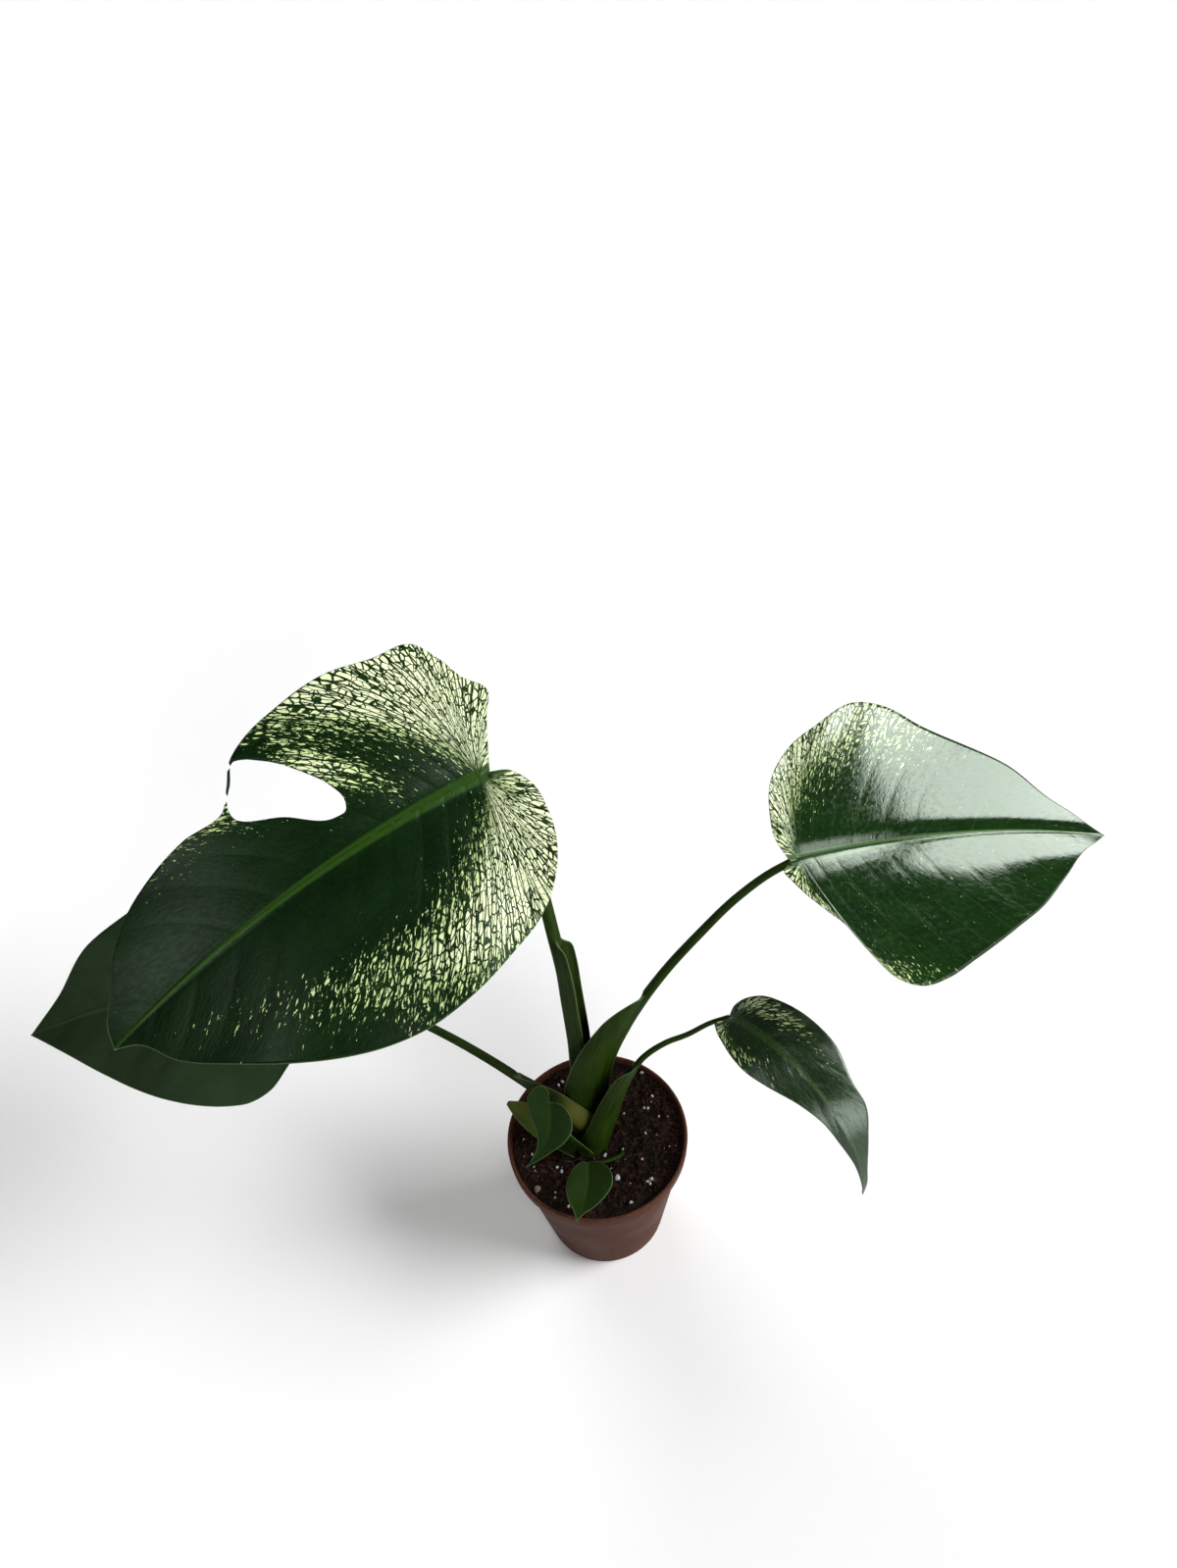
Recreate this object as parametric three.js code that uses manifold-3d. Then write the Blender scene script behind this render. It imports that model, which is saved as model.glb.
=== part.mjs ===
// A variegated monstera with six leaves, growing in a 12 cm nursery pot.
// Millimetres, +Z up. The origin is the middle of the pot's underside, and -Y faces the viewer.
import * as THREE from 'three';
import { mergeVertices } from 'three/addons/utils/BufferGeometryUtils.js';
import Module from 'manifold-3d';

const wasm = await Module();
wasm.setup();

// Driving dimensions of the pot and its filling
const POT_HEIGHT = 108;
const RIM_RADIUS = 60;
const RIM_BAND = 10;
const BODY_TOP_RADIUS = 56.5;
const BASE_RADIUS = 41.5;
const POT_WALL = 1.6;
const POT_FLOOR = 2.2;
const POT_SIDES = 48;
const DRAIN_HOLES = 6;
const DRAIN_RADIUS = 4;
const DRAIN_CIRCLE = 27;
const DRAIN_SIDES = 12;
const SOIL_TOP = 103.5;
const SOIL_ROUGHNESS = 1.1;
const SOIL_FOOT_ROOM = 0.4;
// Inside the rim band the mix's edge stands out by the first number at the second number below the top
const SOIL_EDGE = [[1.1, 2], [1.6, 0.4]];

// Clearance between pieces that touch on the real plant
const GAP = 0.3;

// Driving dimensions of the short stem
const STEM_X = -2;
const STEM_Y = 3;
const STEM_RADIUS = 9;
const STEM_BOTTOM = 72;
const STEM_TOP = 118;
const STEM_SIDES = 18;

// Blade thickness at the midrib and at the margin
const BLADE_MIDDLE = 1.1;
const BLADE_MARGIN = 0.7;

// The side veins: where the lobe veins meet, as a share of the blade's length, how the others crowd towards
// the base, and how far each one runs forward and out before it arches
const HEART = 0.025;
const VEIN_CROWDING = 1.12;
const VEIN_FORWARD = 0.3;
const VEIN_OUT = 0.55;

// The rib under the midrib loses this share of its depth by the tip
const RIB_TAPER = 0.75;

// Points round a petiole's section, and the distance between its rings above the sheath
const SECTION_SIDES = 16;
const STALK_STEP = 20;

const INK = {
  pot: { color: 0x6d3f33, roughness: 0.6 },
  soil: { color: 0x2a1c16, roughness: 1 },
  stem: { color: 0x2c3a1c, roughness: 0.7 },
  petiole: { color: 0x2f4a20, roughness: 0.45 },
  marbled: { color: 0x5d7a3c, roughness: 0.3 },
  green: { color: 0x1f3f1c, roughness: 0.3 },
  scale: { color: 0x7f8f3a, roughness: 0.6 },
};

const plant = new THREE.Group();

// A repeatable stream of numbers from 0 to 1
function seeded(seed) {
  let state = seed;
  return () => {
    state = (state * 1664525 + 1013904223) % 4294967296;
    return state / 4294967296;
  };
}

function solidOf(geometry) {
  const bare = geometry.clone();
  bare.deleteAttribute('normal');
  bare.deleteAttribute('uv');
  const merged = mergeVertices(bare, 1e-4);
  return new wasm.Manifold(new wasm.Mesh({
    numProp: 3,
    vertProperties: new Float32Array(merged.attributes.position.array),
    triVerts: new Uint32Array(merged.index.array),
  }));
}

function geometryOf(solid) {
  const mesh = solid.getMesh();
  const geometry = new THREE.BufferGeometry();
  geometry.setAttribute('position', new THREE.BufferAttribute(new Float32Array(mesh.vertProperties), 3));
  geometry.setIndex(Array.from(mesh.triVerts));
  return geometry;
}

// The main body of a cut solid, without the scraps that a cut leaves beside it
function mainBody(solid) {
  return solid.decompose().sort((a, b) => b.volume() - a.volume())[0];
}

function meshBody(points, triangles) {
  const geometry = new THREE.BufferGeometry();
  const flat = points.flatMap((p) => [p.x, p.y, p.z]);
  geometry.setAttribute('position', new THREE.Float32BufferAttribute(flat, 3));
  geometry.setIndex(triangles.flat());
  return geometry;
}

function addPiece(name, solid, ink) {
  const mesh = new THREE.Mesh(geometryOf(solid), new THREE.MeshStandardMaterial({ ...ink, metalness: 0 }));
  mesh.name = name;
  plant.add(mesh);
}

// A smooth line through hand-placed points, read by distance along it.
// Each point is a list of coordinates, and the slope at a point is weighted by its two spans.
function smoothLine(points) {
  const size = points[0].length;
  const minus = (a, b) => a.map((value, k) => value - b[k]);
  const knots = [0];
  for (let i = 1; i < points.length; i += 1) {
    knots.push(knots[i - 1] + Math.hypot(...minus(points[i], points[i - 1])));
  }
  const span = (i) => knots[i + 1] - knots[i];
  const chord = (i) => minus(points[i + 1], points[i]).map((value) => value / span(i));
  const last = points.length - 1;
  const slopes = points.map((_, i) => {
    if (i === 0) return chord(0);
    if (i === last) return chord(last - 1);
    const before = chord(i - 1);
    const after = chord(i);
    const both = span(i) + span(i - 1);
    return before.map((value, k) => (value * span(i) + after[k] * span(i - 1)) / both);
  });
  const at = (distance) => {
    let i = 0;
    while (i < last - 1 && distance > knots[i + 1]) i += 1;
    const h = span(i);
    const u = Math.min(1, Math.max(0, (distance - knots[i]) / h));
    const blend = [2 * u ** 3 - 3 * u ** 2 + 1, (u ** 3 - 2 * u ** 2 + u) * h];
    const blendEnd = [3 * u ** 2 - 2 * u ** 3, (u ** 3 - u ** 2) * h];
    return Array.from({ length: size }, (_, k) => (
      blend[0] * points[i][k] + blend[1] * slopes[i][k]
      + blendEnd[0] * points[i + 1][k] + blendEnd[1] * slopes[i + 1][k]
    ));
  };
  return { at, length: knots[last] };
}

// The leaves.
// A blade is drawn flat, with x from the sinus along the midrib and y across it, and is then bent into place.
// `right` and `left` are the margins of its two halves, from the sinus round the basal lobe to the tip.
const LEAVES = {
  large_marbled: {
    base: [-40, 103, 350], heading: -149, pitch: 3, bend: 32, roll: -20, length: 255,
    fold: 8, droop: 12, bulge: 0, sweep: 0, fan: 0.3, waves: 3.5, wave: 2.2, rib: 2.6,
    left: [[0, 0], [-11, 4], [-18, 17], [-16, 38], [-7.5, 60], [6, 78], [22, 90], [50, 100], [80, 107],
      [110, 108], [137, 101.5], [160, 91], [183, 76], [206, 56.5], [230, 32], [243, 8.5], [255, 0]],
    right: [[0, 0], [-7, -14], [-15.5, -31], [-25, -49], [-17, -62], [-12, -81], [-3, -98], [23, -98],
      [50, -102], [78, -100], [102, -94.5], [115, -86.5], [125, -71.5], [133.5, -60.5], [159, -61],
      [183, -58], [200.5, -52.5], [218, -42], [236.5, -23.5], [249.5, -11.5], [255, 0]],
    hole: [[108, -81], [97, -69], [88, -55], [80, -39], [78, -27], [81, -21], [88, -21], [109, -37],
      [130, -56], [128.5, -61], [121, -72], [113, -83]],
  },
  glossy: {
    base: [128.8, 57.4, 300], heading: 10.4, pitch: -0.7, bend: 25, roll: 28, length: 220,
    fold: 8, droop: 12, bulge: 0, sweep: 0, fan: 0.3, waves: 3, wave: 1.6, rib: 2.4,
    left: [[0, 0], [-3, 6], [-6, 16], [-5, 30], [0, 47], [9.5, 60], [20.5, 69.5], [34, 76.5], [61, 87.5],
      [77, 83.5], [99, 69], [123.5, 55.5], [148.5, 41.5], [175.5, 22.5], [195.5, 12.5], [211, 4], [220, 0]],
    right: [[0, 0], [-6, -5], [-3, -12], [1, -19], [10, -31], [19, -42], [28.5, -60.5], [39, -77.5],
      [56, -85.5], [75, -83.5], [97, -75], [131, -59], [155.5, -46.5], [177.5, -29.5], [198, -12],
      [211.5, -5], [220, 0]],
  },
  shaded: {
    base: [-178, 94, 190], heading: -175, pitch: 9, bend: 30, roll: -25, length: 198,
    fold: 8, droop: 12, bulge: 0, sweep: 0, fan: 0.28, waves: 3, wave: 1.8, rib: 2.2,
    left: [[0, 0], [-6, 8], [-8, 20], [-4, 35], [6, 49], [17, 61], [30.5, 76], [45, 82], [62, 82], [82, 78],
      [102, 70.5], [125, 58], [147.5, 42], [169.5, 23.5], [187, 9], [198, 0]],
    right: [[0, 0], [-6, -8], [-9, -20], [-4, -36], [8, -52], [25, -68], [45, -76], [65, -77], [88, -72],
      [115, -60], [145, -44], [171, -18], [187, -7], [198, 0]],
  },
  hanging: {
    base: [90, 24.6, 194.8], heading: -52.8, pitch: 29.4, bend: 120, roll: 8, length: 161,
    fold: 12, droop: 25, bulge: 0, sweep: 0, fan: 0.2, waves: 2.5, wave: 0.8, rib: 1.5,
    left: [[0, 0], [-2, 8], [2, 15], [9, 20], [26, 24.5], [49, 27], [61, 26.5], [84, 19.5], [97, 18.5],
      [114.5, 11], [137, 4], [149, 2.5], [161, 0]],
    right: [[0, 0], [-3, -4], [-3, -9.5], [2, -13.5], [7, -16.5], [14, -19.5], [25, -23.5], [40, -25.5],
      [52, -23.5], [76, -15], [91, -10], [108, -7], [126, -4], [143, -2.5], [161, 0]],
  },
  young: {
    base: [-27.8, 2, 150.5], heading: -112, pitch: -35, bend: 10, roll: 0, length: 44,
    fold: 12, droop: 40, bulge: 5, sweep: -7, fan: 0.25, waves: 2, wave: 0.3, rib: 0.9,
    left: [[0, 0], [-1, 5], [0, 10], [4, 14], [12, 15.5], [21, 12.6], [30, 7], [37, 3.4], [44, 0]],
    right: [[0, 0], [-6, -2], [-9, -6], [-8, -10], [-4, -13], [4, -15], [12, -12.5], [20, -7.5], [30, -3],
      [37, -1.2], [44, 0]],
  },
  seedling: {
    base: [-7, -28, 124], heading: -100, pitch: -8, bend: 15, roll: 0, length: 36,
    fold: 12, droop: 40, bulge: 2, sweep: -4, fan: 0.25, waves: 2, wave: 0.3, rib: 0.8,
    left: [[0, 0], [-1, 4], [0, 9], [6, 15.5], [11, 16], [21, 12], [27, 7.5], [31, 3], [36, 0]],
    right: [[0, 0], [0, -3], [4, -9], [11, -12.8], [17, -13.3], [25, -9.5], [30, -4.5], [36, 0]],
  },
};

const radians = THREE.MathUtils.degToRad;
const mix = (from, to, share) => from + (to - from) * Math.min(1, Math.max(0, share));

// A point of the bent blade, `lift` above its middle surface.
// The midrib is an arc that bends down, and each half is an arc that rises from the midrib and then droops.
function bladePoint(leaf, x, y, lift) {
  const heading = radians(leaf.heading);
  const turn = radians(leaf.bend) / leaf.length;
  const start = radians(leaf.pitch);
  const slope = start - turn * x;
  const reach = (Math.sin(start) - Math.sin(slope)) / turn;
  const rise = (Math.cos(slope) - Math.cos(start)) / turn;
  const along = Math.max(0, x) / leaf.length;
  const aside = leaf.bulge * Math.sin(Math.PI * along) + leaf.sweep * along ** 2;
  const forward = new THREE.Vector3(Math.cos(heading), Math.sin(heading), 0);
  const level = new THREE.Vector3(-Math.sin(heading), Math.cos(heading), 0);
  const upright = forward.clone().multiplyScalar(-Math.sin(slope)).setZ(Math.cos(slope));
  const roll = radians(leaf.roll);
  const across = level.clone().multiplyScalar(Math.cos(roll)).addScaledVector(upright, Math.sin(roll));
  const normal = level.clone().multiplyScalar(-Math.sin(roll)).addScaledVector(upright, Math.cos(roll));
  const fold = radians(leaf.fold);
  const droop = radians(leaf.droop) / 100;
  const tilt = fold - droop * Math.abs(y);
  const side = Math.sign(y) || 1;
  const out = side * (Math.sin(fold) - Math.sin(tilt)) / droop;
  const up = (Math.cos(tilt) - Math.cos(fold)) / droop;
  return new THREE.Vector3(...leaf.base)
    .addScaledVector(forward, reach)
    .addScaledVector(level, aside)
    .add(new THREE.Vector3(0, 0, rise))
    .addScaledVector(across, out - side * Math.sin(tilt) * lift)
    .addScaledVector(normal, up + Math.cos(tilt) * lift);
}

// The rows of a half blade are its side veins: they fan out from the sinus into the lobe, then leave the
// midrib one after another and arch towards the tip.
function veinRows(leaf, half, fanRows, ribRows, grow) {
  const line = smoothLine(half === 0 ? leaf.left : leaf.right);
  const outward = half === 0 ? grow : -grow;
  const heart = leaf.length * HEART;
  const rows = [];
  for (let i = 0; i <= fanRows + ribRows; i += 1) {
    const onRib = Math.max(0, i - fanRows) / ribRows;
    const share = i <= fanRows ? (leaf.fan * i) / fanRows : leaf.fan + (1 - leaf.fan) * onRib;
    const foot = [heart + (leaf.length - heart) * onRib ** VEIN_CROWDING, 0];
    const [before, after] = [-0.5, 0.5].map((step) => line.at(share * line.length + step));
    const pace = Math.hypot(after[0] - before[0], after[1] - before[1]);
    const end = line.at(share * line.length);
    if (i > 0 && i < fanRows + ribRows) {
      end[0] -= outward * (after[1] - before[1]) / pace;
      end[1] += outward * (after[0] - before[0]) / pace;
    } else {
      end[0] += i === 0 ? -grow : grow;
    }
    const bow = [foot[0] + VEIN_FORWARD * (end[0] - foot[0]), VEIN_OUT * end[1]];
    rows.push({ share, at: (t) => [0, 1].map((k) => (
      (1 - t) ** 2 * foot[k] + 2 * t * (1 - t) * bow[k] + t ** 2 * end[k]
    )) });
  }
  return rows;
}

// Steps from the midrib to the margin, close beside the midrib where the rib stands out below
const ACROSS = [0, 0.06, 0.28, 0.52, 0.76, 1];

// The waves of a margin, which die away at the sinus and towards the tip, out of step between the halves
function rippleAt(leaf, half, share) {
  const calm = Math.min(1, share / 0.15, (1 - share) / 0.25);
  return calm * Math.sin(2 * Math.PI * leaf.waves * share + half * 2.1 + leaf.length);
}

// One closed blade: the same triangles above and below, joined along the margin
function bladeSolid(leaf, fanRows, ribRows, grow = 0) {
  const points = [];
  const seen = new Map();
  const total = fanRows + ribRows;
  const sides = [0, 1].map((half) => veinRows(leaf, half, fanRows, ribRows, grow));
  // The two halves share the points of the midrib, the sinus and the tip
  const placeOf = (half, i, j) => {
    if (i === total) return 'tip';
    if (j === 0) return `rib${Math.max(i, fanRows)}`;
    return i === 0 ? `sinus${j}` : `${half}/${i}/${j}`;
  };
  const vertex = (half, i, j, upper) => {
    const key = `${placeOf(half, i, j)}${upper}`;
    if (!seen.has(key)) {
      const row = sides[half][i];
      const t = ACROSS[j];
      const [x, y] = row.at(t);
      const ripple = leaf.wave * t ** 2 * rippleAt(leaf, half, row.share);
      const thickness = mix(BLADE_MIDDLE, BLADE_MARGIN, t) / 2 + grow;
      const rib = j === 0 && i < total ? leaf.rib * (1 - RIB_TAPER * Math.max(0, x) / leaf.length) : 0;
      const lift = ripple + (upper ? thickness : -thickness - rib);
      seen.set(key, points.length);
      points.push(bladePoint(leaf, x, i === 0 ? 0 : y, lift));
    }
    return seen.get(key);
  };
  const triangles = [];
  const face = (a, b, c, flip) => {
    if (a !== b && b !== c && c !== a) triangles.push(flip ? [a, c, b] : [a, b, c]);
  };
  for (const half of [0, 1]) {
    for (let i = 0; i < total; i += 1) {
      for (let j = 0; j + 1 < ACROSS.length; j += 1) {
        for (const upper of [true, false]) {
          const corner = [[i, j], [i + 1, j], [i + 1, j + 1], [i, j + 1]]
            .map(([a, b]) => vertex(half, a, b, upper));
          const flip = (half === 1) === upper;
          face(corner[0], corner[1], corner[2], flip);
          face(corner[0], corner[2], corner[3], flip);
        }
      }
      const edge = ACROSS.length - 1;
      const wall = [[i, true], [i + 1, true], [i + 1, false], [i, false]]
        .map(([a, upper]) => vertex(half, a, edge, upper));
      face(wall[0], wall[1], wall[2], half === 1);
      face(wall[0], wall[2], wall[3], half === 1);
    }
  }
  return solidOf(meshBody(points, triangles));
}

// A plug that follows the blade's surface, for cutting a window in it
function windowPlug(leaf, outline) {
  const depth = 6;
  const flat = outline.map(([x, y]) => new THREE.Vector2(x, y));
  if (THREE.ShapeUtils.isClockWise(flat)) flat.reverse();
  const count = flat.length;
  const points = [depth, -depth].flatMap((lift) => flat.map((p) => bladePoint(leaf, p.x, p.y, lift)));
  const caps = THREE.ShapeUtils.triangulateShape(flat, []);
  const triangles = [];
  for (const [a, b, c] of caps) {
    triangles.push([a, b, c], [count + a, count + c, count + b]);
  }
  for (let i = 0; i < count; i += 1) {
    const next = (i + 1) % count;
    triangles.push([i, count + i, count + next], [i, count + next, next]);
  }
  const solid = solidOf(meshBody(points, triangles));
  return solid.volume() > 0 ? solid : solidOf(meshBody(points, triangles.map(([a, b, c]) => [a, c, b])));
}

// The petioles.
// Each is a round stalk that widens below into a sheath, a rib with two thin wings that clasp the stem.
// `inner` is the side that the sheath opens to, and `plus` and `minus` are the widths of its wings.
const PETIOLES = {
  hanging: {
    path: [[3, -7.5, 100], [6, -6.5, 115], [12.5, -2, 133], [19, 1.5, 154.5], [24, 4.5, 166.5],
      [33, 10.5, 178], [48, 15, 186.5], [63, 18, 189.5], [78, 22.5, 193], [90, 24.6, 194.6]],
    inner: [-0.75, 0.3, 0.6], radius: [2.8, 1.5], sheath: 80, shoulder: 9, lip: 1, blunt: 0.5,
    plus: [22, 14], minus: [12, 6], curl: 9, wing: 0.9,
  },
  shaded: {
    path: [[-8, 0, 112], [-12, 1.5, 118], [-19, 5.5, 127], [-28, 11.5, 137], [-38, 17, 144],
      [-64, 32, 158], [-88, 44, 170], [-102, 50, 177], [-138, 71, 187], [-178, 94, 189.6]],
    inner: [0.6, 0.5, 0.6], radius: [3.4, 2.3], sheath: 60, shoulder: 14, lip: 3, blunt: 0.5,
    plus: [12, 6], minus: [23, 11], curl: 11, wing: 0.9,
  },
  glossy: {
    path: [[7, 6, 102], [7, 8.5, 124], [9, 11, 158], [15, 15, 181], [24, 19, 201], [35, 23, 221],
      [52, 31, 242], [72, 39, 262], [97, 50, 281], [117, 56, 293], [128.8, 57.4, 299.5]],
    inner: [-0.72, 0.62, 0.3], radius: [3.8, 2.3], sheath: 130, shoulder: 24, lip: 3, blunt: 0.5,
    plus: [34, 16], minus: [22, 10], curl: 16, wing: 1.1,
  },
  large_marbled: {
    path: [[-5, 12, 118], [-8, 19.5, 145], [-8, 25, 186], [-9, 30, 220], [-10, 35, 250], [-13, 45, 270],
      [-16, 57, 287], [-24, 77, 322], [-40, 103, 349]],
    inner: [0.95, -0.1, 0.25], radius: [4.8, 3.6], sheath: 148, shoulder: 6, lip: 4, blunt: 0.5,
    plus: [14, 12], minus: [12, 10.5], curl: 7, wing: 1,
  },
  young: {
    path: [[-10, -11, 101], [-12, -12, 114], [-18, -10, 131.5], [-25, -3, 145], [-27.8, 2, 150]],
    inner: [0.6, 0.6, 0.5], radius: [2.2, 1.4], sheath: 30, shoulder: 10, lip: 1, blunt: 0.5,
    plus: [9, 4], minus: [9, 4], curl: 8, wing: 0.8,
  },
  seedling: {
    path: [[9, -12, 101], [15, -14, 106], [14, -20, 114], [5, -26, 120], [-7, -28, 123.4]],
    inner: [-0.5, 0.5, 0.6], radius: [1.5, 1.1], sheath: 6, shoulder: 3, lip: 0.5, blunt: 0.5,
    plus: [2.6, 2], minus: [2.6, 2], curl: 6, wing: 0.8,
  },
};

// The papery scale that once wrapped a bud: all wing, ending in a point
const BUD_SCALE = {
  path: [[-10, -7, 102], [-18, -4, 108], [-30, 3, 114], [-44, 11, 121], [-57, 18, 127]],
  inner: [0.1, -0.55, 0.83], radius: [1.5, 0.5], sheath: 61, shoulder: 36, lip: 0.1, blunt: 1,
  plus: [8, 15], minus: [8, 15], curl: 13, wing: 0.8,
};

// One ring of the sheath and stalk, in the plane across it: the outer side first, then the inner side.
function stalkSection(shape, distance, grow) {
  const { sheath, shoulder, curl, wing } = shape;
  const radius = mix(shape.radius[0], shape.radius[1], distance / shape.length) + grow;
  const rounding = Math.min(1, Math.max(0, (distance - sheath + shoulder) / shoulder));
  const past = (distance - sheath) / (1.5 + shape.radius[1]);
  const wings = [shape.plus, shape.minus].map(([low, high]) => {
    const wide = mix(low, high, (distance / sheath) ** 1.3) + grow;
    const rounded = radius + shape.lip + (wide - radius - shape.lip) * (1 - rounding ** 2) ** shape.blunt;
    return mix(rounded, radius, past);
  });
  const inner = mix(wing / 2, radius - grow, (rounding + past) / 2) + grow;
  const outer = wing + grow;
  const ring = [];
  for (let k = 0; k < SECTION_SIDES; k += 1) {
    const angle = (2 * Math.PI * k) / SECTION_SIDES;
    const c = Math.cos(angle);
    const s = Math.sin(angle);
    const x = Math.sign(c) * Math.abs(c) ** 1.5 * (c >= 0 ? wings[0] : wings[1]);
    const rib = Math.sqrt(Math.max(0, radius ** 2 - x ** 2));
    const y = s < -1e-6 ? -Math.max(outer * -s, rib) : inner * s;
    const turn = x / curl;
    ring.push(new THREE.Vector2(
      curl * Math.sin(turn) - y * Math.sin(turn),
      curl * (1 - Math.cos(turn)) + y * Math.cos(turn),
    ));
  }
  return ring;
}

function stalkSolid(shape, grow = 0) {
  const line = smoothLine(shape.path);
  const sized = { ...shape, length: line.length };
  const inner = new THREE.Vector3(...shape.inner);
  const plain = shape.sheath - shape.shoulder;
  const neck = 1.5 + shape.radius[1];
  const stops = [0, 0.25, 0.5, 0.75, 1].map((share) => plain * share);
  for (const share of [0.45, 0.8, 0.97]) stops.push(Math.min(line.length, plain + shape.shoulder * share));
  if (shape.sheath + 2 * neck < line.length) {
    stops.push(shape.sheath, shape.sheath + neck * 0.6, shape.sheath + neck);
    const left = line.length - shape.sheath - neck;
    const steps = Math.max(2, Math.round(left / STALK_STEP));
    for (let i = 1; i <= steps; i += 1) stops.push(shape.sheath + neck + (left * i) / steps);
  }
  const points = [];
  const triangles = [];
  const rings = stops.map((distance, i) => {
    const step = 0.5;
    const low = new THREE.Vector3(...line.at(Math.max(0, distance - step)));
    const high = new THREE.Vector3(...line.at(Math.min(line.length, distance + step)));
    const along = high.clone().sub(low).normalize();
    const place = new THREE.Vector3(...line.at(distance));
    if (i === 0) place.addScaledVector(along, -grow);
    if (i === stops.length - 1) place.addScaledVector(along, grow);
    const side = along.clone().cross(inner).normalize();
    const open = side.clone().cross(along);
    const ring = stalkSection(sized, distance, grow);
    ring.forEach((p) => points.push(place.clone().addScaledVector(side, p.x).addScaledVector(open, p.y)));
    return ring;
  });
  const index = (i, k) => i * SECTION_SIDES + (k % SECTION_SIDES);
  for (let i = 0; i + 1 < rings.length; i += 1) {
    for (let k = 0; k < SECTION_SIDES; k += 1) {
      triangles.push([index(i, k), index(i, k + 1), index(i + 1, k + 1)]);
      triangles.push([index(i, k), index(i + 1, k + 1), index(i + 1, k)]);
    }
  }
  for (const [i, flip] of [[0, true], [rings.length - 1, false]]) {
    for (const corners of THREE.ShapeUtils.triangulateShape(rings[i], [])) {
      const cap = corners.map((k) => index(i, k));
      triangles.push(flip ? cap.reverse() : cap);
    }
  }
  const solid = solidOf(meshBody(points, triangles));
  return solid.volume() > 0 ? solid : solidOf(meshBody(points, triangles.map(([a, b, c]) => [a, c, b])));
}

// The pot: a thin moulded cup with a stepped rim band and drain holes round its floor
function lathe(profile, sides) {
  const geometry = new THREE.LatheGeometry(profile.map(([r, z]) => new THREE.Vector2(r, z)), sides);
  geometry.rotateX(Math.PI / 2);
  const solid = solidOf(geometry);
  if (solid.volume() > 0) return solid;
  const turned = geometry.index.array;
  for (let i = 0; i < turned.length; i += 3) [turned[i], turned[i + 1]] = [turned[i + 1], turned[i]];
  return solidOf(geometry);
}

const bandBottom = POT_HEIGHT - RIM_BAND;
const stepBottom = bandBottom - 4;
const innerRadius = (z) => mix(BASE_RADIUS, BODY_TOP_RADIUS, z / bandBottom) - POT_WALL;

let pot = lathe([
  [0, 0], [BASE_RADIUS - 1, 0], [BASE_RADIUS, 1.2], [BODY_TOP_RADIUS, bandBottom],
  [RIM_RADIUS - 0.6, bandBottom], [RIM_RADIUS - 0.2, POT_HEIGHT - 1], [RIM_RADIUS - 1, POT_HEIGHT],
  [RIM_RADIUS - 2.2, POT_HEIGHT - 0.6], [innerRadius(bandBottom) + 0.6, bandBottom + 3],
  [innerRadius(stepBottom), stepBottom], [innerRadius(POT_FLOOR), POT_FLOOR], [0, POT_FLOOR],
], POT_SIDES);
for (let i = 0; i < DRAIN_HOLES; i += 1) {
  const angle = (2 * Math.PI * i) / DRAIN_HOLES;
  const drill = new THREE.CylinderGeometry(DRAIN_RADIUS, DRAIN_RADIUS, 4 * POT_FLOOR, DRAIN_SIDES);
  drill.rotateX(Math.PI / 2);
  drill.translate(DRAIN_CIRCLE * Math.cos(angle), DRAIN_CIRCLE * Math.sin(angle), 0);
  pot = pot.subtract(solidOf(drill));
}
addPiece('pot', pot, INK.pot);

// The potting mix: a plug that fills the pot to just under the rim, with a crumbly top
function soilSolid() {
  const sides = 32;
  const rings = 8;
  const random = seeded(12);
  const edge = innerRadius(stepBottom) - GAP;
  const side = [
    [innerRadius(POT_FLOOR) - GAP - SOIL_FOOT_ROOM, POT_FLOOR + GAP], [edge, stepBottom],
    ...SOIL_EDGE.map(([out, depth]) => [edge + out, SOIL_TOP - depth]),
  ];
  const points = [new THREE.Vector3(0, 0, POT_FLOOR + GAP)];
  const circle = (radius, height) => {
    for (let k = 0; k < sides; k += 1) {
      const angle = (2 * Math.PI * (k + 0.5)) / sides;
      points.push(new THREE.Vector3(radius * Math.cos(angle), radius * Math.sin(angle), height()));
    }
  };
  side.forEach(([radius, z]) => circle(radius, () => z));
  for (let i = rings - 1; i >= 1; i -= 1) {
    circle((edge * i) / rings, () => SOIL_TOP + SOIL_ROUGHNESS * (2 * random() - 1));
  }
  points.push(new THREE.Vector3(0, 0, SOIL_TOP));
  const loops = side.length + rings - 1;
  const index = (i, k) => 1 + i * sides + (k % sides);
  const triangles = [];
  for (let k = 0; k < sides; k += 1) {
    triangles.push([0, index(0, k + 1), index(0, k)]);
    triangles.push([points.length - 1, index(loops - 1, k), index(loops - 1, k + 1)]);
    for (let i = 0; i + 1 < loops; i += 1) {
      triangles.push([index(i, k), index(i, k + 1), index(i + 1, k + 1)]);
      triangles.push([index(i, k), index(i + 1, k + 1), index(i + 1, k)]);
    }
  }
  return solidOf(meshBody(points, triangles));
}

// Grains of perlite and bark, half sunk in the mix: place and size
const GRAINS = [
  [33, 42.5, 1.8], [39, 26, 2.4], [38, 21, 1.8], [33, 17, 2.4], [19, 15, 1.8], [42, 10, 1.7], [32, -1, 1.8],
  [4, -15, 2.8], [7, -23, 1.6], [11, -30, 3.2], [31, -35, 3.4], [18, -48, 2.4], [-28, -20, 2], [-49, 2, 1.5],
  [-42, -20, 1.6], [-30, -38, 2], [-41, -33, 3.8], [-22, -46, 1.9], [-22, 41, 2.8], [-44, -8, 1.6],
  [28, -19, 1.5],
];

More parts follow.
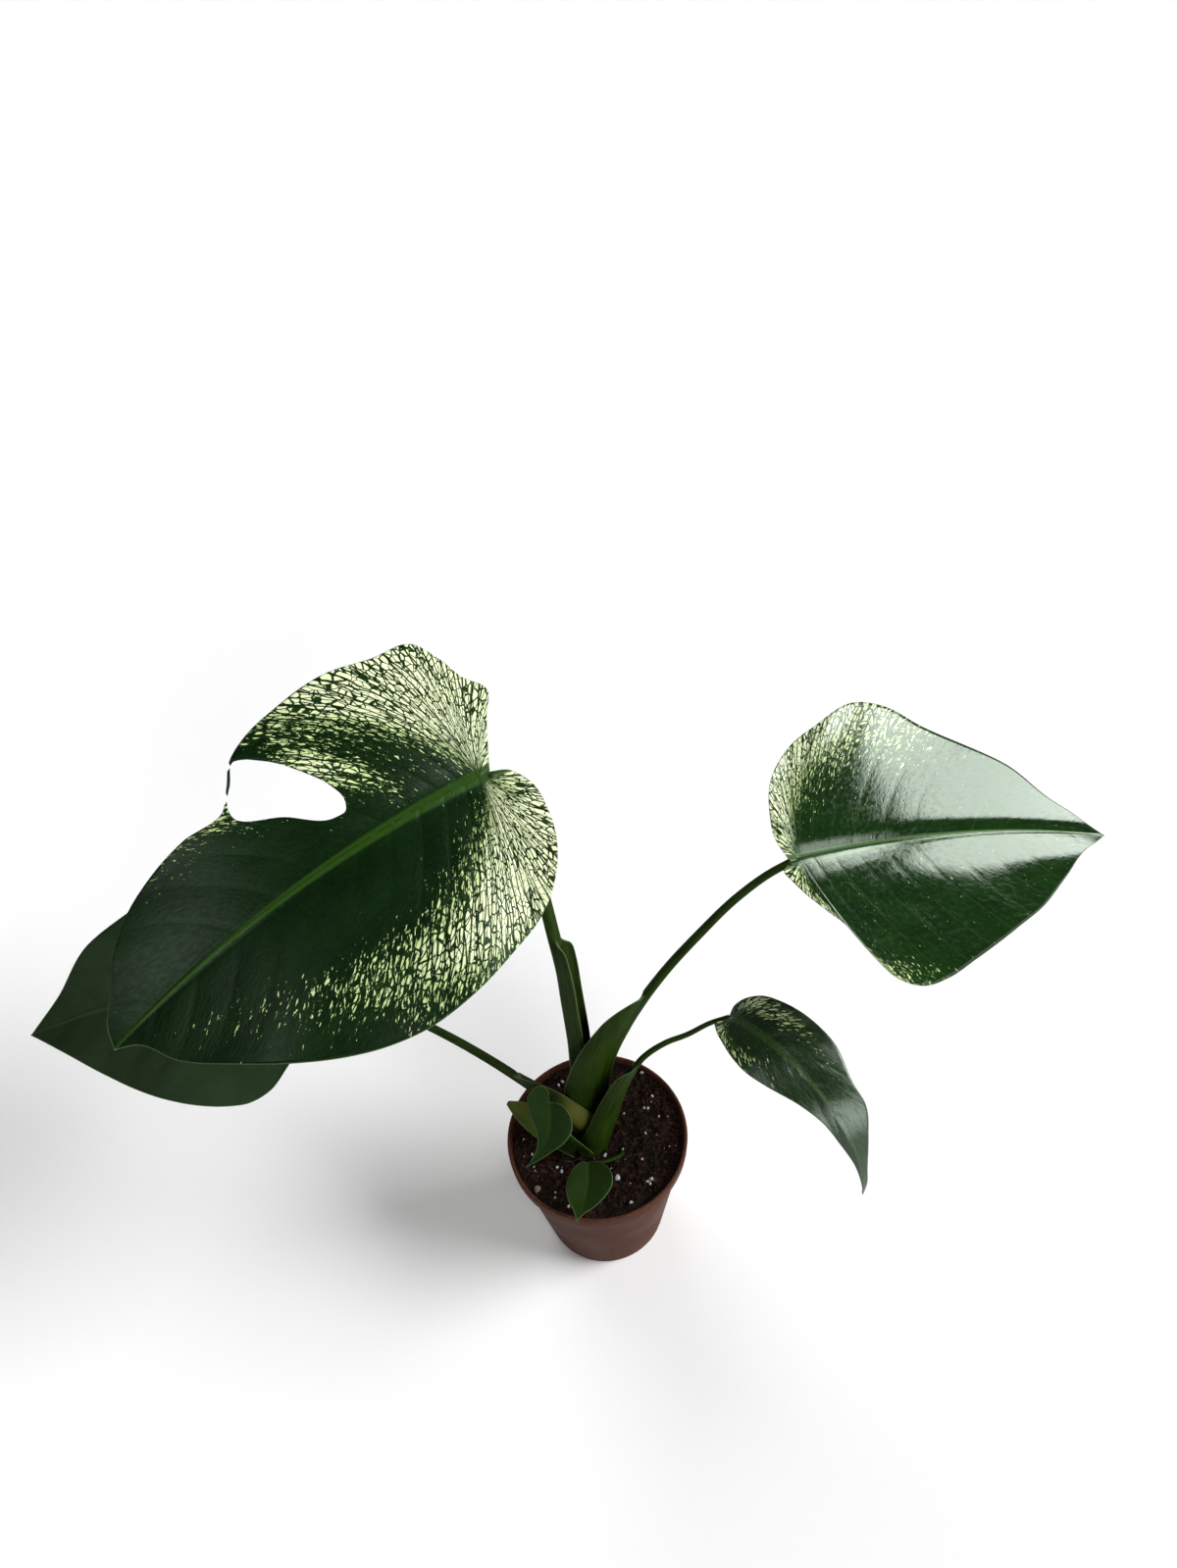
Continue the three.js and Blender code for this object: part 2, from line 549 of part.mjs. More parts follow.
// The short stem that the petioles grow from, mostly under the mix
const stemSolid = (grow) => lathe([
  [0, STEM_BOTTOM - grow], [STEM_RADIUS * 0.7 + grow, STEM_BOTTOM + 1 - grow],
  [STEM_RADIUS + grow, STEM_BOTTOM + 14], [STEM_RADIUS + grow, STEM_TOP - 8 + grow],
  [STEM_RADIUS * 0.75 + grow, STEM_TOP - 2.5 + grow], [0, STEM_TOP + grow],
], STEM_SIDES).translate([STEM_X, STEM_Y, 0]);
const stemRoom = stemSolid(GAP);
addPiece('stem', stemSolid(0), INK.stem);

let soil = soilSolid();
for (const [x, y, size] of GRAINS) {
  const grain = new THREE.IcosahedronGeometry(size, 0);
  grain.rotateZ(x + y);
  grain.scale(1, 0.8, 0.8);
  grain.translate(x, y, SOIL_TOP + size * 0.2);
  soil = soil.add(solidOf(grain));
}
soil = soil.subtract(stemRoom);

// Blades, from the largest to the smallest, with the rows of veins that each one gets
const ROWS = {
  large_marbled: [11, 17],
  glossy: [9, 14],
  shaded: [8, 12],
  hanging: [5, 13],
  young: [4, 7],
  seedling: [4, 6],
};
const bladeInk = { large_marbled: INK.marbled, glossy: INK.marbled, hanging: INK.marbled };
for (const [name, leaf] of Object.entries(LEAVES)) {
  let blade = bladeSolid(leaf, ...ROWS[name]);
  if (leaf.hole) blade = mainBody(blade.subtract(windowPlug(leaf, leaf.hole)));
  addPiece(`blade_${name}`, blade, bladeInk[name] ?? INK.green);
}

// Petioles, outermost at the stem first: each later one gives way to those outside it
let taken = stemRoom;
for (const [name, shape] of Object.entries(PETIOLES)) {
  const room = stalkSolid(shape, GAP);
  const bladeRoom = bladeSolid(LEAVES[name], ...ROWS[name], GAP);
  addPiece(`petiole_${name}`, mainBody(stalkSolid(shape).subtract(taken).subtract(bladeRoom)), INK.petiole);
  soil = soil.subtract(room);
  taken = taken.add(room);
}
addPiece('bud_scale', mainBody(stalkSolid(BUD_SCALE).subtract(taken)), INK.scale);
soil = soil.subtract(stalkSolid(BUD_SCALE, GAP));
addPiece('soil', mainBody(soil), INK.soil);

export default plant;
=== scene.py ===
import math

import bmesh
import bpy
import numpy as np
from mathutils import Matrix, Vector


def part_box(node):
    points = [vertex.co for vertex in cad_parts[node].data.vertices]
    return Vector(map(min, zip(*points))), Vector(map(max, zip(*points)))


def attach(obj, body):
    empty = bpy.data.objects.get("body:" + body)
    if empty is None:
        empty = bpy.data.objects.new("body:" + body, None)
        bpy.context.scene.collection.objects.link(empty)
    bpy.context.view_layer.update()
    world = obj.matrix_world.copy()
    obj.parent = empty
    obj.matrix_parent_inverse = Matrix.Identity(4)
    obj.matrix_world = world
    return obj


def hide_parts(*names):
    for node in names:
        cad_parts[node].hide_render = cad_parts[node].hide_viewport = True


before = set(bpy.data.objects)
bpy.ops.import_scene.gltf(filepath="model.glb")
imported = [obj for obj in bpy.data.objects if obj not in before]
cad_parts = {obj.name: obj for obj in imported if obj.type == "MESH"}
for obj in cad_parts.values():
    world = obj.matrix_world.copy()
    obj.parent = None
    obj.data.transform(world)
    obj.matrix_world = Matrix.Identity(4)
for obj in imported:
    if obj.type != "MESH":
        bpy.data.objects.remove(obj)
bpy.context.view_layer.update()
MM = 0.001


# The pot: a thin cup of red-brown plastic, moulded in one piece, with a straight band round its rim.
# Its mouth is 12 cm across, its wall tapers to a flat floor, and the floor has a ring of drain holes.
pot_low, pot_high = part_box("pot")
POT_HEIGHT = pot_high.z / MM
RIM_RADIUS = (pot_high.x - pot_low.x) / 2 / MM
BAND_DEPTH = 10
BAND_STEP = 3.2
BASE_RADIUS = 41.4
POT_WALL = 1.5
FLOOR_THICKNESS = 2.2
EDGE_ROUNDING = 0.9
POT_SEGMENTS = 192
DRAIN_HOLES = 6
DRAIN_RADIUS = 4
DRAIN_CIRCLE = 27
SCUFF_AND_HIGHLIGHT_DEPTH = 1.5
POT_BROWN = (0.050, 0.017, 0.009)
POT_RED_BROWN = (0.064, 0.023, 0.013)
POT_DUST = (0.085, 0.055, 0.042)
POT_SCUFF_AND_HIGHLIGHT = (0.14, 0.065, 0.045)


def new_piece(name, points, faces):
    """A smoothly shaded mesh object, from points in millimetres and faces as lists of point numbers."""
    mesh = bpy.data.meshes.new(name)
    mesh.from_pydata((np.asarray(points, float) * MM).tolist(), [], faces)
    mesh.polygons.foreach_set("use_smooth", [True] * len(mesh.polygons))
    piece = bpy.data.objects.new(name, mesh)
    bpy.context.scene.collection.objects.link(piece)
    return piece


def circle(count):
    """The angles of places evenly round a circle."""
    return np.arange(count) * 2 * np.pi / count


def ring_faces(rows, sides):
    """The faces between rings of points that follow each other."""
    faces = []
    for first in range(0, (rows - 1) * sides, sides):
        for k in range(sides):
            after = (k + 1) % sides
            faces.append([first + k, first + after, first + sides + after, first + sides + k])
    return faces


def closed_rings(rings, start, end):
    """Points and faces of a row of rings, closed to one point at its start and one at its end."""
    rows, sides = rings.shape[:2]
    heel = rows * sides
    faces = ring_faces(rows, sides)
    for k in range(sides):
        after = (k + 1) % sides
        faces.append([heel, after, k])
        faces.append([heel + 1, heel - sides + k, heel - sides + after])
    return np.vstack([rings.reshape(-1, 3), start, end]), faces


def turned(profile, segments):
    """Points and faces of a closed turned form, whose profile runs from the axis round to the axis."""
    radii, heights = np.array(profile[1:-1]).T[..., None]
    angles = circle(segments)
    rings = np.stack([radii * np.cos(angles), radii * np.sin(angles), heights + 0 * angles], -1)
    return closed_rings(rings, (0, 0, profile[0][1]), (0, 0, profile[-1][1]))


def rounded(corners, radius, steps=5):
    """The corner points of a profile with each inner corner rounded off."""
    smooth = [corners[0]]
    for before, corner, after in zip(corners, corners[1:], corners[2:]):
        corner = Vector(corner)
        ways = [Vector(before) - corner, Vector(after) - corner]
        cut = min(radius, 0.45 * ways[0].length, 0.45 * ways[1].length)
        start, end = [corner + way.normalized() * cut for way in ways]
        for step in range(steps + 1):
            t = step / steps
            smooth.append(tuple((1 - t) ** 2 * start + 2 * t * (1 - t) * corner + t ** 2 * end))
    return smooth + [corners[-1]]


def connect(tree, node, inputs):
    """Sets a node's inputs to values, or joins them to other nodes' outputs. A colour is given as RGB."""
    for name, value in inputs.items():
        socket = node.inputs[name]
        if isinstance(value, bpy.types.NodeSocket):
            tree.links.new(value, socket)
        else:
            socket.default_value = (*value, 1) if socket.type == "RGBA" else value


def add_node(tree, kind, inputs=None, **settings):
    """A shader node with its settings and its inputs."""
    node = tree.nodes.new(kind)
    for name, value in settings.items():
        setattr(node, name, value)
    connect(tree, node, inputs or {})
    return node


def maths(tree, operation, *values):
    """One sum on values that change over the surface."""
    return add_node(tree, "ShaderNodeMath", dict(enumerate(values)), operation=operation).outputs[0]


def ramp(tree, value, low, high, to_low=0.0, to_high=1.0):
    """A smooth step of a value from one level to another."""
    return add_node(tree, "ShaderNodeMapRange", {
        "Value": value, "From Min": low, "From Max": high, "To Min": to_low, "To Max": to_high,
    }, interpolation_type="SMOOTHSTEP").outputs["Result"]


def blend(tree, share, first, second):
    """A mix of two colours by a share."""
    return add_node(tree, "ShaderNodeMix", {0: share, 6: first, 7: second}, data_type="RGBA").outputs[2]


def noise(tree, vector, scale, detail=2.0, roughness=0.5):
    """Soft random values over a vector."""
    return add_node(tree, "ShaderNodeTexNoise", {
        "Vector": vector, "Scale": scale, "Detail": detail, "Roughness": roughness,
    }).outputs["Fac"]


def scaled(tree, vector, scale):
    """A vector scaled along each of its axes."""
    return add_node(tree, "ShaderNodeMapping", {"Vector": vector, "Scale": scale}).outputs[0]


def bumped(tree, height, strength, distance, **under):
    """The surface's normal, tipped by a height."""
    return add_node(tree, "ShaderNodeBump", {
        "Height": height, "Strength": strength, "Distance": distance, **under,
    }).outputs[0]


def split(tree, vector):
    """The separate values of a vector."""
    return add_node(tree, "ShaderNodeSeparateXYZ", {"Vector": vector}).outputs


def new_material(name):
    """A node material, its tree and its Principled shader."""
    material = bpy.data.materials.new(name)
    material.use_nodes = True
    return material, material.node_tree, material.node_tree.nodes["Principled BSDF"]


def pot_finish():
    """Moulded plastic: even red-brown, faintly streaked and dusty, flecked lighter round the top of the rim
    with scuffs and a painted highlight.
    """
    material, tree, shader = new_material("pot_plastic")
    place = add_node(tree, "ShaderNodeTexCoord").outputs["Object"]
    height = split(tree, place)["Z"]
    streaks = noise(tree, scaled(tree, place, (1, 1, 0.12)), 160, 3)
    clouds = noise(tree, place, 28, 4, 0.6)
    specks = noise(tree, place, 900, 2, 0.7)
    plastic = blend(tree, streaks, POT_BROWN, POT_RED_BROWN)
    dusty = blend(tree, ramp(tree, clouds, 0.45, 0.75, 0, 0.2), plastic, POT_DUST)
    # The lighter flecks round the top of the rim are scuffs and a painted highlight on the rim's edge
    near_rim = ramp(tree, height, (POT_HEIGHT - SCUFF_AND_HIGHLIGHT_DEPTH) * MM, POT_HEIGHT * MM)
    scuffs_and_highlight = maths(tree, "MULTIPLY", near_rim, ramp(tree, specks, 0.45, 0.62, 0, 0.5))
    connect(tree, shader, {
        "Base Color": blend(tree, scuffs_and_highlight, dusty, POT_SCUFF_AND_HIGHLIGHT),
        "Roughness": ramp(tree, clouds, 0.3, 0.8, 0.45, 0.66),
        "Specular IOR Level": 0.03,
        "Normal": bumped(tree, specks, 0.25, 0.0002),
    })
    return material


band_foot = POT_HEIGHT - BAND_DEPTH
body_top = RIM_RADIUS - BAND_STEP
pot_profile = rounded([
    (0, 0), (BASE_RADIUS - 6, 0), (BASE_RADIUS - 4.5, 0.7), (BASE_RADIUS - 2, 0.7), (BASE_RADIUS - 1.2, 0),
    (BASE_RADIUS, 1.3), (body_top, band_foot - 0.2), (RIM_RADIUS - 0.5, band_foot),
    (RIM_RADIUS, POT_HEIGHT - 1.4), (RIM_RADIUS - 0.3, POT_HEIGHT), (RIM_RADIUS - 2, POT_HEIGHT),
    (RIM_RADIUS - 2.2, POT_HEIGHT - 2), (body_top - POT_WALL + 0.7, band_foot + 2.5),
    (body_top - POT_WALL, band_foot - 2), (BASE_RADIUS - POT_WALL, FLOOR_THICKNESS), (0, FLOOR_THICKNESS),
], EDGE_ROUNDING)
pot = new_piece("pot_cup", *turned(pot_profile, POT_SEGMENTS))
drills = []
for hole, turn in enumerate(circle(DRAIN_HOLES)):
    points, faces = turned([(0, -3), (DRAIN_RADIUS, -3), (DRAIN_RADIUS, 6), (0, 6)], 40)
    centre = (DRAIN_CIRCLE * math.cos(turn), DRAIN_CIRCLE * math.sin(turn), 0)
    drill = new_piece(f"drill_{hole}", points + centre, faces)
    cut = pot.modifiers.new("drain", "BOOLEAN")
    cut.object = drill
    cut.operation = "DIFFERENCE"
    drills.append(drill)
drilled = bpy.data.meshes.new_from_object(pot.evaluated_get(bpy.context.evaluated_depsgraph_get()))
pot.modifiers.clear()
pot.data = drilled
for drill in drills:
    bpy.data.objects.remove(drill)
pot.data.materials.clear()
pot.data.materials.append(pot_finish())
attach(pot, "root")
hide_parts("pot")


# The potting mix: damp brown peat pressed into the pot, crumbly on top, with white perlite grains,
# chips of bark and thin root fibres lying in its surface.
SOIL_TOP = 104
SOIL_TO_WALL = 1.3
SOIL_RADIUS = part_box("soil")[1].x / MM + SOIL_TO_WALL
SOIL_COLLAR = (54.6, 95)
SOIL_SEGMENTS = 240
SOIL_RINGS = 84
SOIL_FOOT_GAP = 0.6
SOIL_FLOOR_GAP = 0.3
WALL_ZONE = 50
WALL_ZONE_WIDTH = 7
CRUMBS = 900
FIBRES = 46
PERLITE_SPECKS = 46
# Grains of perlite as they lie: place, and half their width
PERLITE = [
    (34, 44, 1.1), (39, 26, 1.1), (38, 21, 0.8), (33, 17, 1.2), (35.5, 16.4, 0.9), (19, 15, 0.8),
    (42, 10, 0.8), (32, -1, 1.0), (16, -11, 0.8), (4, -14, 1.4), (7, -23, 0.8), (11, -30, 2.0),
    (29.6, -34.4, 1.5), (32.6, -33.8, 1.4), (31.2, -36.4, 1.1), (18, -48, 1.4), (-25, -6, 0.8),
    (-28, -19, 1.1), (-25, -21.5, 1.2), (-49, 2, 0.9), (-42, -20, 0.9), (-30, -36, 0.8), (-30, -40, 1.1),
    (-22, -46, 1.0), (-24, 40, 1.0), (-21, 42, 1.1), (-44, -8, 0.9), (28, -19, 0.8), (-43, -17, 0.7),
]
BARK_CHIP = (-41, -33, 3.6)
PLANT_FOOT = (-2, 3)
FOOT_CLEARANCE = 13
PEAT_PORE_SHADE = (0.0035, 0.0018, 0.0012)
PEAT_CRUMB = (0.016, 0.0085, 0.0055)
PEAT_RED = (0.040, 0.014, 0.007)
PEAT_GREY = (0.045, 0.032, 0.025)


def lattice_noise(x, y, cell, seed):
    """Smooth random heights from -1 to 1 over a plane, with bumps about one cell across."""
    grid = np.random.default_rng(seed).uniform(-1, 1, (256, 256))
    u, v = np.asarray(x) / cell + 100, np.asarray(y) / cell + 100
    i, j = np.floor(u).astype(int), np.floor(v).astype(int)
    a, b = u - i, v - j
    a, b = a * a * (3 - 2 * a), b * b * (3 - 2 * b)

    def row(step):
        return grid[i % 256, (j + step) % 256] * (1 - a) + grid[(i + 1) % 256, (j + step) % 256] * a

    return row(0) * (1 - b) + row(1) * b


def soil_height(x, y):
    """The height of the mix at a place: lumps, crumbs and fine grains, lower along the wall."""
    lumps = 1.0 * lattice_noise(x, y, 11, 1) + 0.7 * lattice_noise(x, y, 4.3, 2)
    crumbs = 0.55 * lattice_noise(x, y, 1.9, 3) + 0.3 * lattice_noise(x, y, 0.95, 4)
    wall = np.clip((np.hypot(x, y) - WALL_ZONE) / WALL_ZONE_WIDTH, 0, 1)
    return SOIL_TOP - 0.4 + lumps * (1 - 0.6 * wall) + crumbs + 0.5 * wall


def soil_plug():
    """The whole plug of mix: its flat underside, its side and its crumbly top."""
    angles = circle(SOIL_SEGMENTS)
    ring = np.stack([np.cos(angles), np.sin(angles), 0 * angles], -1)
    foot = (0, 0, FLOOR_THICKNESS + SOIL_FLOOR_GAP)
    bottom = ring * (BASE_RADIUS - POT_WALL - SOIL_FOOT_GAP) + foot
    collar = ring * SOIL_COLLAR[0] + (0, 0, SOIL_COLLAR[1])
    top = ring * np.linspace(SOIL_RADIUS, 0.5, SOIL_RINGS)[:, None, None]
    top[..., 2] = soil_height(top[..., 0], top[..., 1])
    return closed_rings(np.stack([bottom, collar, *top]), foot, (0, 0, soil_height(0, 0)))


def nodule(random, radius, flat=0.8, rough=0.25, detail=2):
    """Points and faces of one small rough lump about the origin, from a divided icosahedron."""
    ball = bmesh.new()
    bmesh.ops.create_icosphere(ball, subdivisions=detail, radius=1)
    points = np.array([v.co for v in ball.verts])
    faces = [[v.index for v in f.verts] for f in ball.faces]
    ball.free()
    waves = random.normal(size=(4, 3)) * 1.9
    swell = sum(np.sin(points @ wave + random.uniform(0, 6)) for wave in waves) / 4
    points = points * (1 + rough * swell)[:, None] * (1, random.uniform(0.7, 1), flat) * radius
    turn = random.uniform(0, 2 * np.pi)
    spin = np.array([[np.cos(turn), -np.sin(turn), 0], [np.sin(turn), np.cos(turn), 0], [0, 0, 1]])
    return points @ spin.T, faces


def lump(random, x, y, size, lift, *form):
    """A nodule lying in the surface of the mix, lifted by a share of its size."""
    points, faces = nodule(random, size, *form)
    return points + (x, y, soil_height(x, y) + lift * size), faces


def tube_faces(rows, sides):
    """The faces of a tube of rings with a flat cap at each end."""
    last = (rows - 1) * sides
    return ring_faces(rows, sides) + [list(range(sides))[::-1], list(range(last, last + sides))]


def strand(path, radius, sides=5):
    """Points and faces of a thin closed fibre along a path."""
    along = np.gradient(path, axis=0)
    along /= np.linalg.norm(along, axis=1)[:, None]
    side = np.cross(along, (0.1, 0.2, 1))
    side /= np.linalg.norm(side, axis=1)[:, None]
    over = np.cross(along, side)
    angles = circle(sides)[:, None]
    taper = radius * np.sin(np.linspace(0.25, np.pi - 0.25, len(path)))[:, None, None]
    ring = side[:, None] * np.cos(angles) - over[:, None] * np.sin(angles)
    return (path[:, None] + taper * ring).reshape(-1, 3), tube_faces(len(path), sides)


def gather(parts):
    """Several sets of points and faces as one."""
    faces, count = [], 0
    for points, more_faces in parts:
        faces.extend([[i + count for i in face] for face in more_faces])
        count += len(points)
    return np.vstack([points for points, more_faces in parts]), faces


def scattered(random, count, reach):
    """Random places on the mix, away from the plant's foot."""
    places = []
    while len(places) < count:
        x, y = random.uniform(-reach, reach, 2)
        if math.hypot(x, y) < reach and math.dist((x, y), PLANT_FOOT) > FOOT_CLEARANCE:
            places.append((x, y))
    return places


def new_group(name, inputs, outputs):
    """An empty shader node group with named sockets, each with its kind."""
    tree = bpy.data.node_groups.new(name, "ShaderNodeTree")
    for way, sockets in (("INPUT", inputs), ("OUTPUT", outputs)):
        for label, kind in sockets.items():
            tree.interface.new_socket(name=label, in_out=way, socket_type=f"NodeSocket{kind}")
    return tree, tree.nodes.new("NodeGroupInput").outputs, tree.nodes.new("NodeGroupOutput")


def add_group(tree, group, inputs):
    """The outputs of a node group placed in a material."""
    return add_node(tree, "ShaderNodeGroup", inputs, node_tree=group).outputs


def porous_group():
    """The face of a porous grain: pale, pitted, and stained by the peat in its hollows."""
    tree, given, result = new_group(
        "porous_grain", {"Place": "Vector", "Light": "Color", "Shade": "Color"},
        {"Color": "Color", "Height": "Float"})
    pits = noise(tree, given["Place"], 1300, 3, 0.7)
    stain = noise(tree, given["Place"], 320, 2)
    face = blend(tree, ramp(tree, pits, 0.3, 0.6), given["Shade"], given["Light"])
    stained = blend(tree, ramp(tree, stain, 0.55, 0.75, 0, 0.6), face, given["Shade"])
    connect(tree, result, {"Color": stained, "Height": pits})
    return tree


def grain_finish(name, light, shade):
    """A dull porous grain in its own two colours."""
    material, tree, shader = new_material(name)
    place = add_node(tree, "ShaderNodeTexCoord").outputs["Object"]
    grain = add_group(tree, POROUS_GRAIN, {"Place": place, "Light": light, "Shade": shade})
    connect(tree, shader, {
        "Base Color": grain["Color"], "Roughness": 0.85, "Normal": bumped(tree, grain["Height"], 0.5, 0.0004),
    })
    return material


def peat_finish():
    """Damp peat: dark brown on its crumbs, with a few reddish ones, and near black in its pores as painted
    shade in the hollows of its bump.
    """
    material, tree, shader = new_material("potting_mix")
    place = add_node(tree, "ShaderNodeTexCoord").outputs["Object"]
    coarse = noise(tree, place, 260, 5, 0.7)
    fine = noise(tree, place, 1500, 4, 0.7)
    tint = noise(tree, place, 420, 1)
    # The low places of the bump below, its pores, are painted near black as shade
    dark = blend(tree, ramp(tree, coarse, 0.35, 0.7), PEAT_PORE_SHADE, PEAT_CRUMB)
    warm = blend(tree, ramp(tree, tint, 0.52, 0.68), dark, PEAT_RED)
    connect(tree, shader, {
        "Base Color": blend(tree, ramp(tree, fine, 0.64, 0.82), warm, PEAT_GREY),
        "Roughness": 0.92,
        "Specular IOR Level": 0.1,
        "Normal": bumped(tree, maths(tree, "MULTIPLY_ADD", fine, 0.5, coarse), 0.8, 0.0009),
    })
    return material


POROUS_GRAIN = porous_group()
draw = np.random.default_rng(7)
peat = [soil_plug()]
for x, y in scattered(draw, CRUMBS, SOIL_RADIUS - 2.5):
    peat.append(lump(draw, x, y, draw.uniform(0.5, 1.5), 0.25, 0.75, 0.35, 1))
soil = new_piece("potting_mix", *gather(peat))
soil.data.materials.append(peat_finish())

grains = [lump(draw, x, y, size, 0.35, 0.85, 0.55) for x, y, size in PERLITE]
for x, y in scattered(draw, PERLITE_SPECKS, SOIL_RADIUS - 4):
    grains.append(lump(draw, x, y, draw.uniform(0.22, 0.5), 0.5, 0.9, 0.3, 1))
perlite = new_piece("perlite_grains", *gather(grains))
perlite.data.materials.append(grain_finish("perlite", (0.55, 0.56, 0.52), (0.16, 0.15, 0.13)))

chip_x, chip_y, chip_size = BARK_CHIP
points, faces = nodule(draw, chip_size, 0.6, 0.3)
chip_place = (chip_x, chip_y, soil_height(chip_x, chip_y) + 1)
bark = new_piece("bark_chip", points * (0.75, 1, 1) + chip_place, faces)
bark.data.materials.append(grain_finish("bark", (0.22, 0.15, 0.09), (0.05, 0.03, 0.018)))

threads = []
for x, y in scattered(draw, FIBRES, SOIL_RADIUS - 8):
    heading, bend, length = draw.uniform(0, 2 * np.pi), draw.uniform(-0.16, 0.16), draw.uniform(5, 15)
    steps = np.linspace(0, length, 12)
    turn = heading + bend * steps
    fibre_x = x + np.cumsum(np.cos(turn)) * length / len(steps)
    fibre_y = y + np.cumsum(np.sin(turn)) * length / len(steps)
    if (np.hypot(fibre_x, fibre_y) < SOIL_RADIUS - 1.5).all():
        lift = soil_height(fibre_x, fibre_y) + 0.35 + 0.5 * np.sin(steps / length * np.pi)
        threads.append(strand(np.stack([fibre_x, fibre_y, lift], -1), draw.uniform(0.09, 0.2)))
fibres = new_piece("root_fibres", *gather(threads))
fibres.data.materials.append(grain_finish("fibre", (0.085, 0.052, 0.032), (0.03, 0.017, 0.01)))
for piece in (soil, perlite, bark, fibres):
    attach(piece, "root")
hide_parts("soil")


# The stem: the plant's short upright axis, a green stump ringed with leaf scars.
# It stands in the mix, and the sheaths of the petioles wrap it, so that little of it shows.
STEM_RADIUS = 8.9
STEM_FOOT = 72
STEM_TOP = 118
SCAR_STEP = 7
SCAR_DEPTH = 0.5
YOUNG_YELLOW = (0.12, 0.125, 0.022)
DRY_BROWN = (0.012, 0.010, 0.006)
EDGE_GREEN = (0.15, 0.20, 0.09)


def stalk_skin_group():
    """Skin of a stalk: green with fine long streaks, pale along free edges and yellow where it is young.

    Skin is millimetres round and along the stalk. Fresh is 1 where it is young, and below 0 where it is dry.
    """
    tree, given, result = new_group("stalk_skin", {
        "Skin": "Vector", "Edge": "Float", "Fresh": "Float", "Dark": "Color", "Light": "Color",
    }, {"Color": "Color", "Height": "Float"})
    skin, fresh, light = given["Skin"], given["Fresh"], given["Light"]
    streaks = noise(tree, scaled(tree, skin, (1.3, 0.05, 1)), 1.0, 3, 0.6)
    flecks = noise(tree, scaled(tree, skin, (1.6, 0.5, 1)), 1.4, 2)
    patches = noise(tree, skin, 0.07, 2)
    green = blend(tree, ramp(tree, streaks, 0.3, 0.7), given["Dark"], light)
    mottled = blend(tree, ramp(tree, patches, 0.45, 0.75, 0, 0.5), green, light)
    young = maths(tree, "MULTIPLY", fresh, ramp(tree, streaks, 0.2, 0.8, 0.75, 1))
    yellow = blend(tree, young, mottled, YOUNG_YELLOW)
    flecked = blend(tree, ramp(tree, flecks, 0.66, 0.74, 0, 0.35), yellow, light)
    dried = blend(tree, ramp(tree, fresh, -0.1, -0.9), flecked, DRY_BROWN)
    edged = blend(tree, maths(tree, "MULTIPLY", given["Edge"], 0.6), dried, EDGE_GREEN)
    connect(tree, result, {"Color": edged, "Height": streaks})
    return tree


def read_map(tree, name):
    """A named map of the mesh, as a vector and as its separate values."""
    vector = add_node(tree, "ShaderNodeUVMap", uv_map=name).outputs[0]
    return vector, split(tree, vector)


def stalk_finish(name, dark, light, roughness):
    """Waxy green skin of a stalk, stem or sheath."""
    material, tree, shader = new_material(name)
    edge, fresh = read_map(tree, "tone")[1][:2]
    skin = add_group(tree, STALK_SKIN, {
        "Skin": read_map(tree, "skin_mm")[0], "Edge": edge, "Fresh": fresh, "Dark": dark, "Light": light,
    })
    connect(tree, shader, {
        "Base Color": skin["Color"],
        "Roughness": roughness,
        "Specular IOR Level": 0.06,
        "Subsurface Weight": 0.06,
        "Subsurface Radius": (0.001, 0.002, 0.0006),
        "Normal": bumped(tree, skin["Height"], 0.35, 0.0003),
    })
    return material


def add_map(mesh, name, values):
    """A named map of two values for each face corner."""
    layer = mesh.uv_layers.new(name=name)
    layer.data.foreach_set("uv", np.asarray(values, np.float32).ravel())


def corner_points(mesh):
    """The point number of every face corner."""
    numbers = np.empty(len(mesh.loops), int)
    mesh.loops.foreach_get("vertex_index", numbers)
    return numbers


STALK_SKIN = stalk_skin_group()
stem_profile = [(0, STEM_FOOT), (STEM_RADIUS * 0.7, STEM_FOOT + 1)]
for height in range(STEM_FOOT + 8, STEM_TOP - 6):
    scar = SCAR_DEPTH * math.exp(-(height % SCAR_STEP - SCAR_STEP / 2) ** 2)
    stem_profile.append((STEM_RADIUS - scar, height))
stem_profile += [(STEM_RADIUS * 0.8, STEM_TOP - 3.5), (STEM_RADIUS * 0.5, STEM_TOP - 1), (0, STEM_TOP - 0.3)]
points, faces = turned(stem_profile, 64)
stem = new_piece("stem_stump", points + (*PLANT_FOOT, 0), faces)
at = corner_points(stem.data)
round_stem = np.arctan2(points[:, 1], points[:, 0]) * STEM_RADIUS
add_map(stem.data, "skin_mm", np.stack([round_stem[at], points[at, 2]], -1))
add_map(stem.data, "tone", np.zeros((len(at), 2)))
stem.data.materials.append(stalk_finish("stem_skin", (0.012, 0.026, 0.008), (0.035, 0.06, 0.016), 0.6))
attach(stem, "root")
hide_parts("stem")


